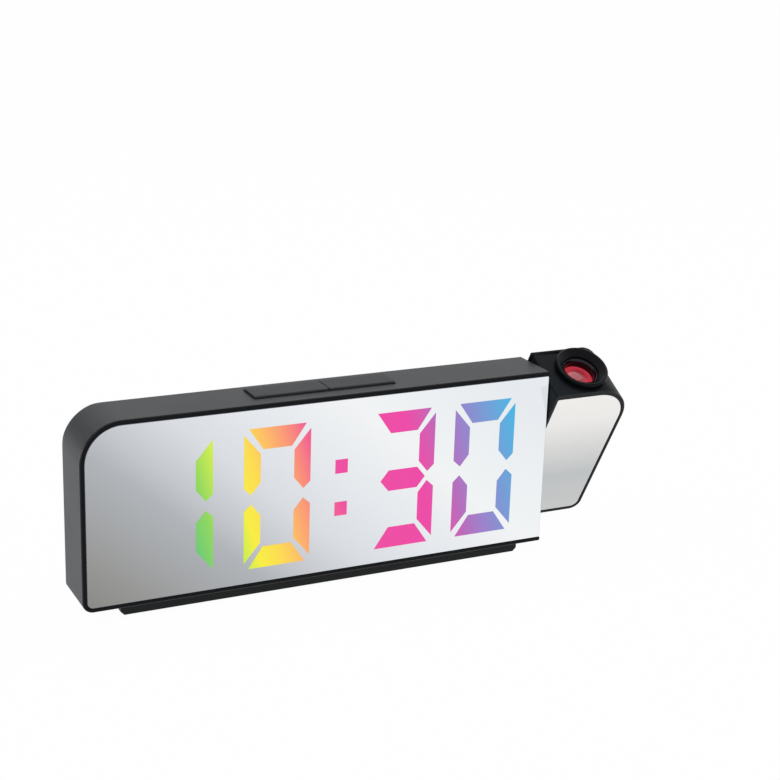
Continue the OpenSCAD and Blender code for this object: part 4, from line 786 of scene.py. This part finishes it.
# %% [markdown]
# ## Floor and light
#
# The floor is a pale sheet. To the camera and in reflections it is white paper lit evenly, and a
# trace of its real shading remains. The camera sees a white backdrop. What the clock mirrors are
# pale walls with a dark corner at the back left, and a dimmer world gives the soft light. One large
# softbox hangs overhead, a second at the left lifts the end of the housing, and a small weak one
# shines on the upper left rim.

# %% Floor
def seen_directly(g):
    """1 for rays from the camera, from a mirror or through glass, and 0 for light on its way."""
    path = g.node("LightPath").socket.node.outputs
    rays = [Value(g, path[name]) for name in ("Is Camera Ray", "Is Glossy Ray", "Is Transmission Ray")]
    return rays[0].most(rays[1]).most(rays[2])


REACH = 12.0
SEEN_WHITE = 0.98
corners = [(-REACH, -REACH, 0), (REACH, -REACH, 0), (REACH, REACH, 0), (-REACH, REACH, 0)]
sheet = bpy.data.meshes.new("floor")
sheet.from_pydata(corners, [], [(0, 1, 2, 3)])
floor = bpy.data.objects.new("floor", sheet)
bpy.context.scene.collection.objects.link(floor)
paper, g = material("floor_paper")
tone = g.blend(g.noise(40), (0.93, 0.93, 0.93), (0.95, 0.95, 0.95))
diffuse = g.node("BsdfDiffuse", {}, {"Color": tone})
white = g.node("Emission", {}, {"Color": (1.0, 1.0, 1.0), "Strength": 1.0})
g.surface(g.node("MixShader", {}, {0: seen_directly(g) * SEEN_WHITE, 1: diffuse, 2: white}))
sheet.materials.append(paper)
print("floor", 2 * REACH, "m wide")

# %% World and lamps
world = bpy.data.worlds.new("studio")
bpy.context.scene.world = world
g = Graph(world)
x, y, z = g.split(g.place())
dark_corner = (0 - x).step(0.12, 0.5) * y.step(0.1, 0.5) * (1 - z.step(0.5, 0.85))
walls = g.blend(dark_corner, (0.86, 0.87, 0.88), (0.06, 0.065, 0.07))
dim = g.node("Background", {}, {"Color": (1.0, 1.0, 1.0), "Strength": 0.5})
pale = g.node("Background", {}, {"Color": walls, "Strength": 1.0})
both = g.node("MixShader", {}, {0: seen_directly(g), 1: dim, 2: pale})
backdrop = g.node("Background", {}, {"Color": (1.0, 1.0, 1.0), "Strength": 1.0})
to_camera = g.node("LightPath", out="Is Camera Ray")
everywhere = g.node("MixShader", {}, {0: to_camera, 1: both, 2: backdrop})
g.node("OutputWorld", {}, {"Surface": everywhere})


def softbox(name, place, aim, size, power, colour=(1.0, 1.0, 1.0)):
    """A square lamp at a place, turned to shine at its aim. Size is in metres, power in watts."""
    data = bpy.data.lights.new(name, "AREA")
    data.shape = "SQUARE"
    data.size = size
    data.energy = power
    data.color = colour
    lamp = bpy.data.objects.new(name, data)
    lamp.location = place
    lamp.rotation_euler = (Vector(aim) - Vector(place)).to_track_quat("-Z", "Y").to_euler()
    bpy.context.scene.collection.objects.link(lamp)


MIDDLE = (0, 0, 0.04)
UPPER_LEFT_RIM = (-0.09, 0, 0.07)
WARM = (1.0, 0.98, 0.94)
softbox("overhead", (0.35, 0.2, 1.45), MIDDLE, 1.2, 7.4)
softbox("left", (-1.1, 0.25, 0.1), MIDDLE, 0.7, 6.0, WARM)
softbox("glint", (-0.80, -0.02, 1.0), UPPER_LEFT_RIM, 0.1, 0.5)
bpy.context.scene.view_settings.view_transform = "Standard"
print("world and three softboxes")
